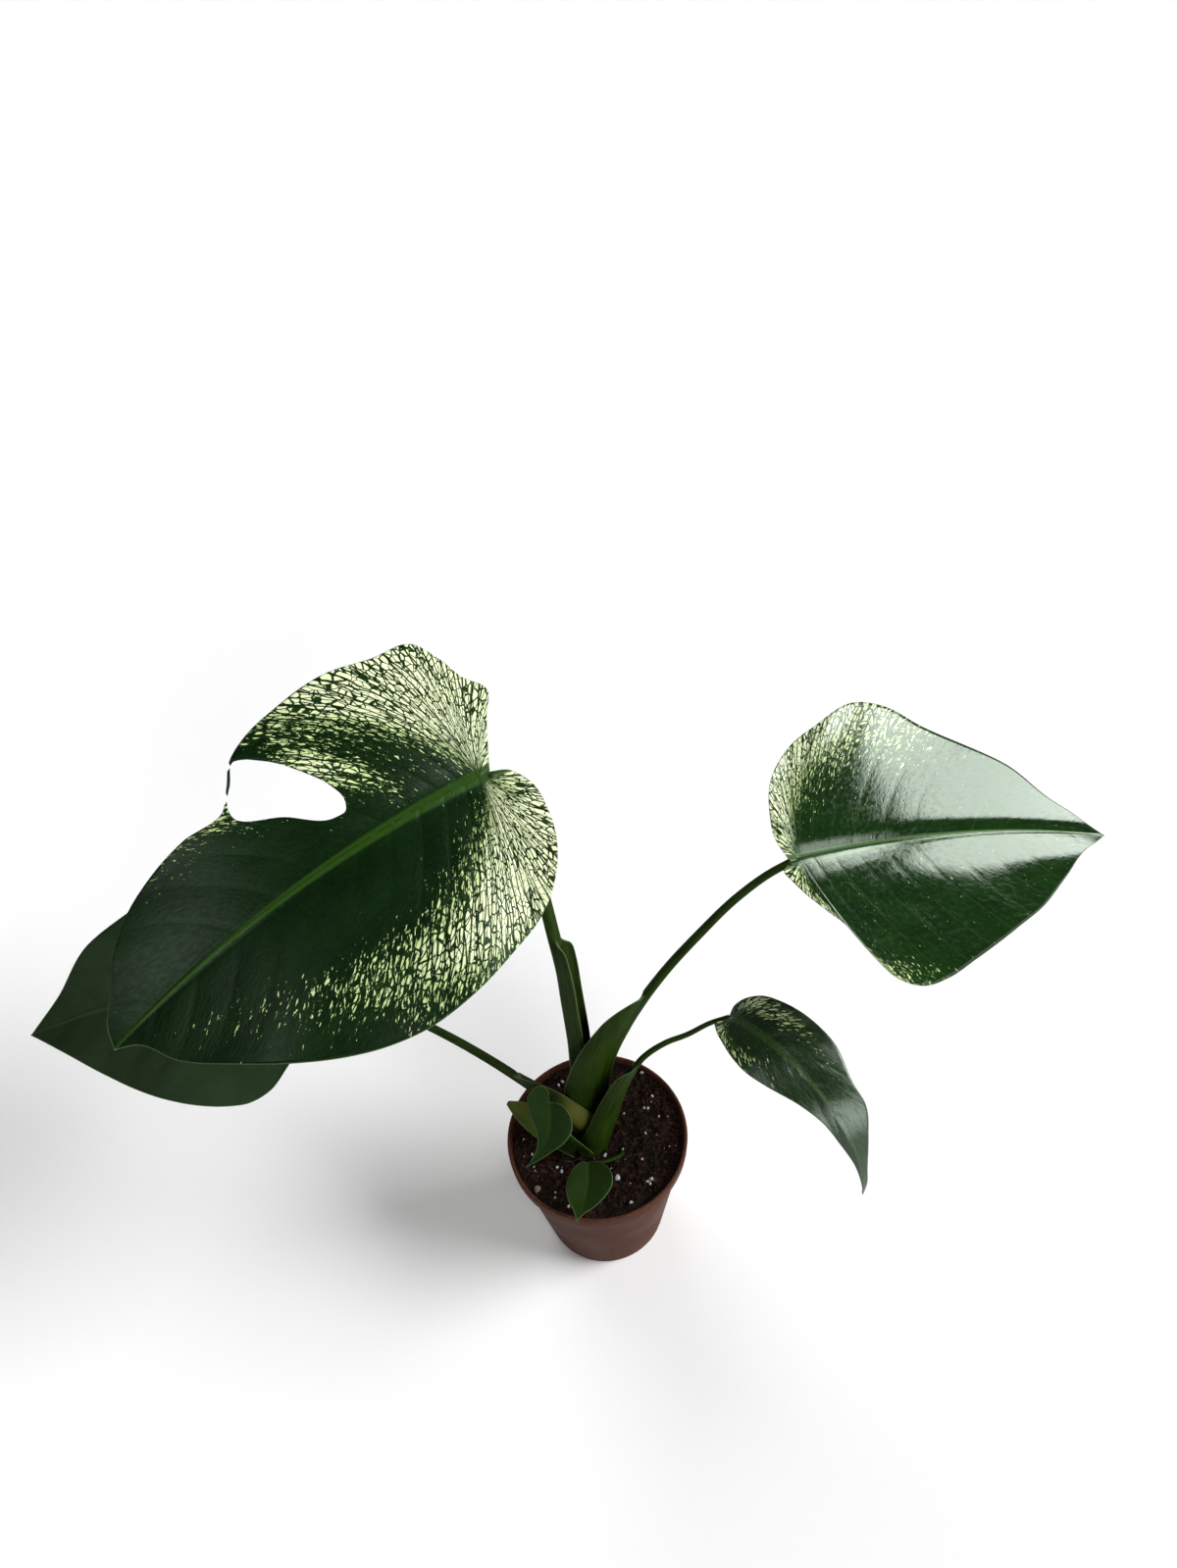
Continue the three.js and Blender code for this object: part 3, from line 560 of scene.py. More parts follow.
# The petioles: the leaf stalks, round and smooth above, and opened out below into a sheath with two
# thin wings that wrap the stem and each other. Each grew with its leaf, and its wings end in a shoulder.
PETIOLES = {
    "hanging": dict(
        path=[(3, -7.5, 100), (6, -6.5, 115), (12.5, -2, 133), (19, 1.5, 154.5), (24, 4.5, 166.5),
              (33, 10.5, 178), (48, 15, 186.5), (63, 18, 189.5), (78, 22.5, 193), (90, 24.6, 194.6)],
        inner=(-0.75, 0.3, 0.6), radius=(2.8, 1.5), sheath=80, shoulder=9, lip=1,
        plus=(22, 14), minus=(12, 6), curl=9, wing=0.9),
    "shaded": dict(
        path=[(-8, 0, 112), (-12, 1.5, 118), (-19, 5.5, 127), (-28, 11.5, 137), (-38, 17, 144),
              (-64, 32, 158), (-88, 44, 170), (-102, 50, 177), (-138, 71, 187), (-178, 94, 189.6)],
        inner=(0.6, 0.5, 0.6), radius=(3.4, 2.3), sheath=60, shoulder=14, lip=3,
        plus=(12, 6), minus=(23, 11), curl=11, wing=0.9),
    "glossy": dict(
        path=[(7, 6, 102), (7, 8.5, 124), (9, 11, 158), (15, 15, 181), (24, 19, 201), (35, 23, 221),
              (52, 31, 242), (72, 39, 262), (97, 50, 281), (117, 56, 293), (128.8, 57.4, 299.5)],
        inner=(-0.72, 0.62, 0.3), radius=(3.8, 2.3), sheath=130, shoulder=24, lip=3,
        plus=(34, 16), minus=(22, 10), curl=16, wing=1.1),
    "large_marbled": dict(
        path=[(-5, 12, 118), (-8, 19.5, 145), (-8, 25, 186), (-9, 30, 220), (-10, 35, 250), (-13, 45, 270),
              (-16, 57, 287), (-24, 77, 322), (-40, 103, 349)],
        inner=(0.95, -0.1, 0.25), radius=(4.8, 3.6), sheath=148, shoulder=6, lip=4,
        plus=(14, 12), minus=(12, 10.5), curl=7, wing=1),
    "young": dict(
        path=[(-10, -11, 101), (-12, -12, 114), (-18, -10, 131.5), (-25, -3, 145), (-27.8, 2, 150)],
        inner=(0.6, 0.6, 0.5), radius=(2.2, 1.4), sheath=30, shoulder=10, lip=1,
        plus=(9, 4), minus=(9, 4), curl=8, wing=0.8),
    "seedling": dict(
        path=[(9, -12, 101), (15, -14, 106), (14, -20, 114), (5, -26, 120), (-7, -28, 123.4)],
        inner=(-0.5, 0.5, 0.6), radius=(1.5, 1.1), sheath=6, shoulder=3, lip=0.5,
        plus=(2.6, 2), minus=(2.6, 2), curl=6, wing=0.8),
}
STALK_SIDES = 48
STALK_STEP = 1.2
PALE_EDGE_WIDTH = 0.7


def smooth_line(points):
    """A smooth line through given points, read by distance, and its length."""
    points = np.array(points, float)
    spans = np.linalg.norm(np.diff(points, axis=0), axis=1)
    knots = np.concatenate([[0], np.cumsum(spans)])
    chords = np.diff(points, axis=0) / spans[:, None]
    slopes = np.empty_like(points)
    slopes[0], slopes[-1] = chords[0], chords[-1]
    both = (spans[:-1] + spans[1:])[:, None]
    slopes[1:-1] = (chords[:-1] * spans[1:, None] + chords[1:] * spans[:-1, None]) / both

    def at(distance):
        distance = np.asarray(distance, float)
        i = np.clip(np.searchsorted(knots, distance, side="right") - 1, 0, len(spans) - 1)
        u = np.clip((distance - knots[i]) / spans[i], 0, 1)[..., None]
        span = spans[i][..., None]
        start = (2 * u ** 3 - 3 * u ** 2 + 1) * points[i] + (u ** 3 - 2 * u ** 2 + u) * span * slopes[i]
        end = (3 * u ** 2 - 2 * u ** 3) * points[i + 1] + (u ** 3 - u ** 2) * span * slopes[i + 1]
        return start + end

    return at, knots[-1]


def between(low, high, share):
    """A value part of the way from one to another."""
    return low + (high - low) * np.clip(share, 0, 1)


def stalk(name, shape, fresh):
    """A stalk with its sheath. `fresh` gives how yellow it is at each distance along and place across."""
    at, length = smooth_line(shape["path"])
    sheath, shoulder, wing, curl = shape["sheath"], shape["shoulder"], shape["wing"], shape["curl"]
    stops = np.linspace(0, length, int(length / STALK_STEP) + 1)
    radius = between(*shape["radius"], stops / length)
    rounding = np.clip((stops - sheath + shoulder) / shoulder, 0, 1)
    past = (stops - sheath) / (1.5 + shape["radius"][1])
    wings = []
    for low, high in (shape["plus"], shape["minus"]):
        wide = between(low, high, (stops / sheath) ** 1.3)
        lip = radius + shape["lip"]
        winged = lip + (wide - lip) * (1 - rounding ** 2) ** shape.get("blunt", 0.5)
        wings.append(between(winged, radius, past)[:, None])
    radius = radius[:, None]
    inner = between(wing / 2, radius, (rounding + past)[:, None] / 2)
    c, s = np.cos(circle(STALK_SIDES)), np.sin(circle(STALK_SIDES))
    reach = np.where(c >= 0, *wings)
    x = np.sign(c) * np.abs(c) ** 1.5 * reach
    rib = np.sqrt(np.maximum(0, radius ** 2 - x ** 2))
    y = np.where(s < -1e-6, -np.maximum(wing * -s, rib), inner * s)
    turn = x / curl
    across = curl * np.sin(turn) - y * np.sin(turn)
    out = curl * (1 - np.cos(turn)) + y * np.cos(turn)
    along = at(np.minimum(length, stops + 0.5)) - at(np.maximum(0, stops - 0.5))
    along /= np.linalg.norm(along, axis=1)[:, None]
    side = np.cross(along, np.array(shape["inner"], float))
    side /= np.linalg.norm(side, axis=1)[:, None]
    opening = np.cross(side, along)
    points = at(stops)[:, None] + across[..., None] * side[:, None] + out[..., None] * opening[:, None]
    piece = new_piece(name, points.reshape(-1, 3), tube_faces(len(stops), STALK_SIDES))
    edge = np.clip(1 - (reach - np.abs(x)) / PALE_EDGE_WIDTH, 0, 1) * np.clip((reach - radius) / 2, 0, 1)
    corner = corner_points(piece.data)
    for label, first, second in (("skin_mm", x, stops[:, None]), ("tone", edge, fresh(stops[:, None], x))):
        values = np.stack(np.broadcast_arrays(first, second), -1).reshape(-1, 2)
        add_map(piece.data, label, values[corner])
    return piece


def never_fresh(along, across):
    """Green all over."""
    return 0 * across


def fresh_at_foot(along, across):
    """The low wing of the shaded leaf's sheath, which light never reached."""
    return np.clip((36 - along) / 14, 0, 1) * np.clip((-across - 3) / 4, 0, 1)


petiole_skin = stalk_finish("petiole_skin", (0.006, 0.014, 0.0005), (0.016, 0.035, 0.002), 0.5)
for leaf_name, shape in PETIOLES.items():
    fresh = fresh_at_foot if leaf_name == "shaded" else never_fresh
    petiole = stalk(f"stalk_{leaf_name}", shape, fresh)
    petiole.data.materials.append(petiole_skin)
    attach(petiole, "root")
    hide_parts(f"petiole_{leaf_name}")


# The bud scale: the thin yellow-green sheath that once wrapped a bud, standing open at the left of the
# stem. It is all wing, with no leaf, and ends in a dry dark point.
BUD_SCALE = dict(
    path=[(-10, -7, 102), (-18, -4, 108), (-30, 3, 114), (-44, 11, 121), (-57, 18, 127)],
    inner=(0.1, -0.55, 0.83), radius=(1.5, 0.5), sheath=61, shoulder=38, lip=0.1, blunt=1.25,
    plus=(8, 15), minus=(8, 15), curl=13, wing=0.8)
DRY_FROM = 59


def fresh_scale(along, across):
    """Yellow along its upper half, green below, and dry at the point."""
    yellow = np.clip((along - 12) / 20, 0, 1) * np.clip((across + 6) / 10, 0.15, 1)
    return np.where(along > DRY_FROM, -1, yellow)


scale = stalk("bud_scale_sheath", BUD_SCALE, fresh_scale)
scale.data.materials.append(stalk_finish("scale_skin", (0.012, 0.030, 0.003), (0.035, 0.062, 0.008), 0.5))
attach(scale, "root")
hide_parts("bud_scale")


# The blades: thick, leathery leaves on their stalks, heart-shaped and pointed, with a raised midrib and
# side veins that arch to the margin. Cream and mint cells break up the green of three of them.
BLADE_MIDDLE = 1.0
BLADE_MARGIN = 0.45
LARGEST_BLADE = 255
HEART = 0.025
VEIN_CROWDING = 1.5
COLUMN_CROWDING = 1.3
VEIN_FORWARD = 0.3
VEIN_OUT = 0.55
CALM_FOOT = 0.15
CALM_TIP = 0.25
HANG_SOFTNESS = 8
HOLE_POINTS = 600
WELDS_PER_MM = 500
CREAM = (0.68, 0.79, 0.42)
LIME = (0.42, 0.58, 0.19)
WHITE_CREAM = (0.76, 0.84, 0.52)
THIN_GREEN = (0.020, 0.058, 0.007)
RIM_GREEN = (0.12, 0.17, 0.07)
UNDER_GREEN = (0.022, 0.05, 0.018)
UNDER_LIGHT = (0.0352, 0.07, 0.0288)
UNDER_CREAM = (0.34, 0.42, 0.2)
# A blade's foot, its way, bend and folds in degrees, its length, the share of its margin that the veins of
# its lobe fan over, the waves of its margin, the keel under its midrib, the step between its rows, and the
# columns and standing side veins of a half.
# relief: how far the midrib stands up or sinks, the furrows of the side veins, the pillows between them, and
# the trough beside the midrib. dips, which are too shallow to show in the outline of a half: how deep it
# sinks along the midrib and how far out that reaches, then where it starts to hang and how steeply.
# pale: the half (0 left, 1 right), the place round the margin and across, the spread of each, and strength.
# A level half has no dip.
LEVEL = (0, 1, 300, 0)
PLAIN_BLADE = dict(bulge=0, sweep=0, dips=(LEVEL, LEVEL), pale=[], hole=None)
LEAVES = {
    "large_marbled": dict(
        base=(-40, 103, 350), heading=-149, pitch=3, bend=32, roll=-20, length=255,
        fold=8, droop=12, fan=0.4, waves=3.5, wave=2.2, rib=2.6,
        step=1.7, columns=66, veins=19, relief=(0.55, 0.22, 0.16, 0.10),
        skin=dict(name="marbled_skin", dark=(0.002, 0.010, 0.0018), light=(0.004, 0.016, 0.003),
                  rib=(0.018, 0.052, 0.005), roughness=0.27, shine=0.13),
        pale=[
            (0, 0, 0.5, 0.2, 2, 0.55), (0, 0.05, 1.1, 0.2, 0.45, 0.62), (0, 0.26, 0.5, 0.13, 0.8, 0.6),
            (0, 0.42, 0.7, 0.2, 0.45, 0.5), (0, 0.65, 0.72, 0.3, 0.2, 0.46), (1, 0.14, 0.5, 0.34, 2, 0.62),
            (1, 0.14, 1.1, 0.24, 0.5, 0.58), (1, 0.34, 0.5, 0.12, 0.6, 0.26), (1, 0.42, 1, 0.14, 0.45, 0.5),
            (1, 0.62, 1, 0.07, 0.6, 0.62), (1, 0.75, 0.95, 0.08, 0.2, 0.4), (1, 0.24, 0.3, 0.16, 0.4, 0.36),
            (1, 0.42, 0.7, 0.04, 0.4, 0.35), (1, 0.57, 0.5, 0.03, 0.4, 0.5), (1, 0.585, 1, 0.03, 0.2, -1.6),
            (0, 0.22, 0.3, 0.12, 0.3, 0.3), (0, 0.38, 0.4, 0.14, 0.45, 0.4),
        ],
        left=[(0, 0), (-11, 4), (-18, 17), (-16, 38), (-7.5, 60), (6, 78), (22, 90), (50, 100), (80, 107),
              (110, 108), (137, 101.5), (160, 91), (183, 76), (206, 56.5), (230, 32), (243, 8.5), (255, 0)],
        right=[(0, 0), (-7, -14), (-15.5, -31), (-25, -49), (-17, -62), (-12, -81), (-3, -98), (23, -98),
               (50, -102), (78, -100), (102, -94.5), (115, -86.5), (125, -71.5), (133.5, -60.5), (159, -61),
               (183, -58), (200.5, -52.5), (218, -42), (236.5, -23.5), (249.5, -11.5), (255, 0)],
        hole=[(108, -81), (97, -69), (88, -55), (80, -39), (78, -27), (81, -21), (88, -21), (109, -37),
              (131, -55.5), (130, -61.2), (122.2, -72.6), (113.8, -84.2)]),
    "glossy": dict(
        base=(128.8, 57.4, 300), heading=10.4, pitch=-0.7, bend=25, roll=28, length=220,
        fold=8, droop=12, fan=0.3, waves=3, wave=1.6, rib=2.4,
        step=1.7, columns=56, veins=16, relief=(-0.35, 0.07, 0.03, 0.08),
        skin=dict(name="glossy_skin", dark=(0.003, 0.016, 0.0015), light=(0.006, 0.026, 0.003),
                  # Its pale midrib colour, with shade down the middle, paints reflections on the rib's two
                  # edges and a shadow in its channel
                  rib=(0.06, 0.12, 0.04), roughness=0.12, shine=0.55,
                  fineness=1.25, groove_shade=1.0, pucker=0.14),
        pale=[
            (0, 0.12, 1, 0.26, 0.6, 1.05), (0, 0.15, 0.5, 0.12, 0.3, 0.3), (0, 0.45, 0.9, 0.15, 0.35, 0.45),
            (0, 0.5, 0.5, 1, 2, 0.16), (1, 0, 0.5, 0.12, 1, 0.8), (1, 0.2, 1, 0.15, 0.35, 0.6),
            (1, 0.35, 1, 0.12, 0.2, 0.3), (1, 0.5, 0.5, 1, 2, 0.16),
        ],
        dips=((2.4, 8, 200, 0), (0, 1, 21, 0.32)),
        left=[(0, 0), (-3, 6), (-6, 16), (-5, 30), (0, 47), (9.5, 60), (20.5, 69.5), (34, 76.5), (61, 87.5),
              (77, 83.5), (99, 69), (123.5, 55.5), (148.5, 41.5), (175.5, 22.5), (195.5, 12.5), (211, 4),
              (220, 0)],
        right=[(0, 0), (-6, -5), (-3, -12), (1, -19), (10, -31), (19, -42), (28.5, -60.5), (39, -77.5),
               (56, -85.5), (75, -83.5), (97, -75), (131, -59), (155.5, -46.5), (177.5, -29.5), (198, -12),
               (211.5, -5), (220, 0)]),
    "shaded": dict(
        base=(-178, 94, 190), heading=-175, pitch=9, bend=30, roll=-25, length=198,
        fold=8, droop=12, fan=0.28, waves=3, wave=1.8, rib=2.2,
        step=2.0, columns=48, veins=14, relief=(0.4, 0.25, 0.3, 0.2),
        skin=dict(name="shaded_skin", dark=(0.013, 0.029, 0.010), light=(0.018, 0.037, 0.013),
                  rib=(0.026, 0.050, 0.017), roughness=0.45, shine=0.12),
        left=[(0, 0), (-6, 8), (-8, 20), (-4, 35), (6, 49), (17, 61), (30.5, 76), (45, 82), (62, 82),
              (82, 78), (102, 70.5), (125, 58), (147.5, 42), (169.5, 23.5), (187, 9), (198, 0)],
        right=[(0, 0), (-6, -8), (-9, -20), (-4, -36), (8, -52), (25, -68), (45, -76), (65, -77), (88, -72),
               (115, -60), (145, -44), (171, -18), (187, -7), (198, 0)]),
    "hanging": dict(
        base=(90, 24.6, 194.8), heading=-52.8, pitch=29.4, bend=120, roll=8, length=161,
        fold=12, droop=25, fan=0.2, waves=2.5, wave=0.8, rib=1.5,
        step=1.4, columns=34, veins=11, relief=(-0.2, 0.16, 0.14, 0.1),
        skin=dict(name="hanging_skin", dark=(0.004, 0.015, 0.003), light=(0.008, 0.025, 0.004),
                  rib=(0.018, 0.045, 0.008), roughness=0.24, shine=0.7),
        pale=[
            (0, 0.16, 0.62, 0.14, 0.45, 0.8), (0, 0.34, 0.55, 0.12, 0.3, 0.55),
            (0, 0.55, 0.7, 0.16, 0.3, 0.35), (1, 0.1, 0.75, 0.14, 0.45, 0.7), (1, 0.3, 0.8, 0.14, 0.3, 0.5),
            (1, 0.42, 0.5, 0.1, 0.3, 0.25),
        ],
        dips=(LEVEL, (0, 1, 2, 0.22)),
        left=[(0, 0), (-2, 8), (2, 15), (9, 20), (26, 24.5), (49, 27), (61, 26.5), (84, 19.5), (97, 18.5),
              (114.5, 11), (137, 4), (149, 2.5), (161, 0)],
        right=[(0, 0), (-3, -4), (-3, -9.5), (2, -13.5), (7, -16.5), (14, -19.5), (25, -23.5), (40, -25.5),
               (52, -23.5), (76, -15), (91, -10), (108, -7), (126, -4), (143, -2.5), (161, 0)]),
    "young": dict(
        base=(-27.8, 2, 150.5), heading=-112, pitch=-35, bend=10, roll=0, length=44,
        fold=12, droop=40, bulge=5, sweep=-7, fan=0.25, waves=2, wave=0.3, rib=0.9,
        step=0.7, columns=24, veins=7, relief=(0.05, 0.05, 0.04, 0.02),
        skin=dict(name="young_skin", dark=(0.009, 0.025, 0.004), light=(0.012, 0.031, 0.005),
                  rib=(0.015, 0.038, 0.006), roughness=0.45, shine=0.07),
        left=[(0, 0), (-1, 5), (0, 10), (4, 14), (12, 15.5), (21, 12.6), (30, 7), (37, 3.4), (44, 0)],
        right=[(0, 0), (-6, -2), (-9, -6), (-8, -10), (-4, -13), (4, -15), (12, -12.5), (20, -7.5), (30, -3),
               (37, -1.2), (44, 0)]),
    "seedling": dict(
        base=(-7, -28, 124), heading=-100, pitch=-8, bend=15, roll=0, length=36,
        fold=12, droop=40, bulge=2, sweep=-4, fan=0.25, waves=2, wave=0.3, rib=0.8,
        step=0.7, columns=24, veins=7, relief=(-0.04, 0.03, 0.02, 0.0),
        skin=dict(name="seedling_skin", dark=(0.007, 0.020, 0.001), light=(0.010, 0.026, 0.002),
                  rib=(0.013, 0.034, 0.003), roughness=0.45, shine=0.07),
        left=[(0, 0), (-1, 4), (0, 9), (6, 15.5), (11, 16), (21, 12), (27, 7.5), (31, 3), (36, 0)],
        right=[(0, 0), (0, -3), (4, -9), (11, -12.8), (17, -13.3), (25, -9.5), (30, -4.5), (36, 0)]),
}


def on_blade(leaf, x, y, lift):
    """Points of the bent blade over flat places, `lift` above its middle surface."""
    heading, start, roll, fold = (math.radians(leaf[key]) for key in ("heading", "pitch", "roll", "fold"))
    turn = math.radians(leaf["bend"]) / leaf["length"]
    slope = start - turn * x
    reach = (math.sin(start) - np.sin(slope)) / turn
    rise = (np.cos(slope) - math.cos(start)) / turn
    along = np.maximum(0, x) / leaf["length"]
    aside = leaf["bulge"] * np.sin(np.pi * along) + leaf["sweep"] * along ** 2
    forward = np.array([math.cos(heading), math.sin(heading), 0])
    level = np.array([-math.sin(heading), math.cos(heading), 0])
    up = np.array([0, 0, 1.0])
    upright = -np.sin(slope)[:, None] * forward + np.cos(slope)[:, None] * up
    across = math.cos(roll) * level + math.sin(roll) * upright
    normal = -math.sin(roll) * level + math.cos(roll) * upright
    droop = math.radians(leaf["droop"]) / 100
    tilt = fold - droop * np.abs(y)
    side = np.where(y < 0, -1.0, 1.0)
    out = side * (math.sin(fold) - np.sin(tilt)) / droop - side * np.sin(tilt) * lift
    rest = (np.cos(tilt) - math.cos(fold)) / droop + np.cos(tilt) * lift
    middle = reach[:, None] * forward + aside[:, None] * level + rise[:, None] * up
    return np.array(leaf["base"], float) + middle + out[:, None] * across + rest[:, None] * normal


def half_blade(leaf, half):
    """Flat places of a half blade on a grid of vein rows, with each one's share of the margin and width."""
    at, margin = smooth_line(leaf["left" if half == 0 else "right"])
    length, fan = leaf["length"], leaf["fan"]
    fan_rows = max(4, round(fan * margin / leaf["step"]))
    rib_rows = max(6, round((1 - fan) * margin / leaf["step"]))
    row = np.arange(fan_rows + rib_rows + 1)
    on_rib = np.maximum(0, row - fan_rows) / rib_rows
    share = np.where(row <= fan_rows, fan * row / fan_rows, fan + (1 - fan) * on_rib)
    heart = length * HEART
    foot = np.stack([heart + (length - heart) * on_rib ** VEIN_CROWDING, 0 * on_rib], -1)
    end = at(share * margin)
    bow = np.stack([foot[:, 0] + VEIN_FORWARD * (end[:, 0] - foot[:, 0]), VEIN_OUT * end[:, 1]], -1)
    t = ((np.arange(leaf["columns"] + 1) / leaf["columns"]) ** COLUMN_CROWDING)[:, None]
    grid = (1 - t) ** 2 * foot[:, None] + 2 * t * (1 - t) * bow[:, None] + t ** 2 * end[:, None]
    grid[0, :, 1] = 0
    return grid, share[:, None], t[:, 0], margin


def paleness(leaf, half, share, across):
    """How much of the green has gone from a place on a blade, from 0 to about 1."""
    pale = np.zeros(np.broadcast(share, across).shape)
    for side, place, out, spread, width, strength in leaf["pale"]:
        if side == half:
            pale += strength * np.exp(-((share - place) / spread) ** 2 - ((across - out) / width) ** 2)
    return np.clip(pale, 0, 1.1)


def half_surface(leaf, half):
    """A half blade's flat places, its lift above and below them, the values of its maps, and its faces."""
    grid, share, t, margin = half_blade(leaf, half)
    size = leaf["length"] / LARGEST_BLADE
    vein_length = np.linalg.norm(np.diff(grid, axis=1), axis=2).sum(1)[:, None]
    spacing = np.linalg.norm(np.gradient(grid, axis=0), axis=2) / np.gradient(share, axis=0)
    cell = spacing / leaf["veins"]
    phase = share * leaf["veins"]
    off_vein = np.abs(phase - np.round(phase)) * cell
    near_tip = np.maximum(0, grid[..., 0]) / leaf["length"]
    rib_width = (0.6 + 3.6 * size) * ((1 - 0.85 * near_tip) ** 1.5 + 0.12)
    off_rib = np.abs(grid[..., 1])

    calm = np.minimum(1, np.minimum(share / CALM_FOOT, (1 - share) / CALM_TIP))
    ripple = np.sin(2 * np.pi * leaf["waves"] * share + half * 2.1 + leaf["length"])
    wave = leaf["wave"] * calm * t ** 2 * ripple
    furrow = np.exp(-(off_vein / (0.5 + 0.6 * size)) ** 2) * np.minimum(1, cell / 5) * (1 - t ** 4)
    quilt = np.sin(np.pi * phase) ** 2 * np.minimum(1, cell / 9) * np.minimum(1, t * 5) * (1 - t ** 3)
    rise, furrow_depth, pillow, trough_depth = leaf["relief"]
    quilted = pillow * quilt - furrow_depth * furrow
    ridge = rise * np.exp(-(off_rib / rib_width) ** 2)
    trough = trough_depth * np.exp(-((off_rib - 2.2 * rib_width) / rib_width) ** 2)
    crease = math.sin(math.radians(leaf["fold"])) * (np.hypot(off_rib, 0.6 * rib_width) - off_rib)
    keel = leaf["rib"] * (1 - 0.75 * near_tip) * np.exp(-(off_rib / (rib_width * 0.8)) ** 2)
    thick = (BLADE_MIDDLE + (BLADE_MARGIN - BLADE_MIDDLE) * t) / 2
    above = wave + thick + crease + (ridge + quilted - trough) * np.minimum(1, (1 - share) * 12)
    below = wave - thick - keel + quilted

    along_vein = t * vein_length
    deep, reach, start, slope = leaf["dips"][half]
    hang = slope * HANG_SOFTNESS * np.logaddexp(0, (along_vein - start) / HANG_SOFTNESS)
    dip = -deep * np.exp(-(along_vein / reach) ** 2) - hang
    hand = 1 if half == 0 else -1
    maps = np.stack(np.broadcast_arrays(
        hand * share * margin, along_vein, off_rib / rib_width, (1 - t) * vein_length,
        paleness(leaf, half, share, t), off_vein, dip, 0,
    ), -1).reshape(-1, 8)

    across = leaf["columns"] + 1
    first = (np.arange(len(grid) - 1)[:, None] * across + np.arange(leaf["columns"])).ravel()
    ring = [first, first + across, first + across + 1, first + 1]
    return grid.reshape(-1, 2), above.ravel(), below.ravel(), maps, np.stack(ring[::hand], -1)


def inside_outline(outline, x, y):
    """Whether each place lies inside a closed outline."""
    inside = np.zeros(len(x), bool)
    for (x0, y0), (x1, y1) in zip(outline, np.roll(outline, -1, axis=0)):
        crosses = (y0 > y) != (y1 > y)
        inside ^= crosses & (x < (x1 - x0) * (y - y0) / (y1 - y0 + 1e-12) + x0)
    return inside


def cut_hole(corners, places, quads):
    """The faces left round a hole, with the places along its rim drawn onto its outline."""
    at, around = smooth_line(corners + corners[:1])
    outline = at(np.linspace(0, around, HOLE_POINTS, endpoint=False))
    centres = places[quads].mean(1)
    gone = inside_outline(outline, centres[:, 0], centres[:, 1])
    rim = np.intersect1d(quads[gone], quads[~gone])
    nearest = np.argmin(np.linalg.norm(places[rim][:, None] - outline[None], axis=2), axis=1)
    places[rim] = outline[nearest]
    return quads[~gone]


def blade(name, leaf):
    """A closed blade with veins in relief, as one piece with maps for its finish."""
    left, right = half_surface(leaf, 0), half_surface(leaf, 1)
    places, above, below, maps = (np.concatenate(both) for both in zip(left[:4], right[:4]))
    quads = np.vstack([left[4], right[4] + len(left[0])])
    if leaf["hole"]:
        quads = cut_hole(leaf["hole"], places, quads)
    welds = np.round(places * WELDS_PER_MM).astype(int)
    _, keep, welded = np.unique(welds, axis=0, return_index=True, return_inverse=True)
    welded = welded.ravel()
    faces, sources, edges = [], [], {}
    for quad in quads.tolist():
        face, source = [], []
        for corner in quad:
            point = int(welded[corner])
            if point not in face:
                face.append(point)
                source.append(corner)
        if len(face) < 3:
            continue
        faces.append(face)
        sources.append(source)
        for a, b, at_a, at_b in zip(face, face[1:] + face[:1], source, source[1:] + source[:1]):
            if edges.pop((b, a), None) is None:
                edges[(a, b)] = (at_a, at_b)
    upper_count, total = len(faces), len(keep)
    faces += [[point + total for point in reversed(face)] for face in faces]
    sources += [list(reversed(source)) for source in sources]
    for (a, b), (at_a, at_b) in edges.items():
        faces.append([b, a, a + total, b + total])
        sources.append([at_b, at_a, at_a, at_b])
    points = np.vstack([on_blade(leaf, *places[keep].T, lift[keep]) for lift in (above, below)])
    piece = new_piece(f"leaf_{name}", points, faces)
    numbers = np.array([corner for source in sources for corner in source])
    for column, label in enumerate(("vein_mm", "rib_mm", "tone", "dip_mm")):
        add_map(piece.data, label, maps[numbers, 2 * column:2 * column + 2])
    under = np.zeros(len(faces), int)
    under[upper_count:2 * upper_count] = 1
    piece.data.polygons.foreach_set("material_index", under)
    return piece


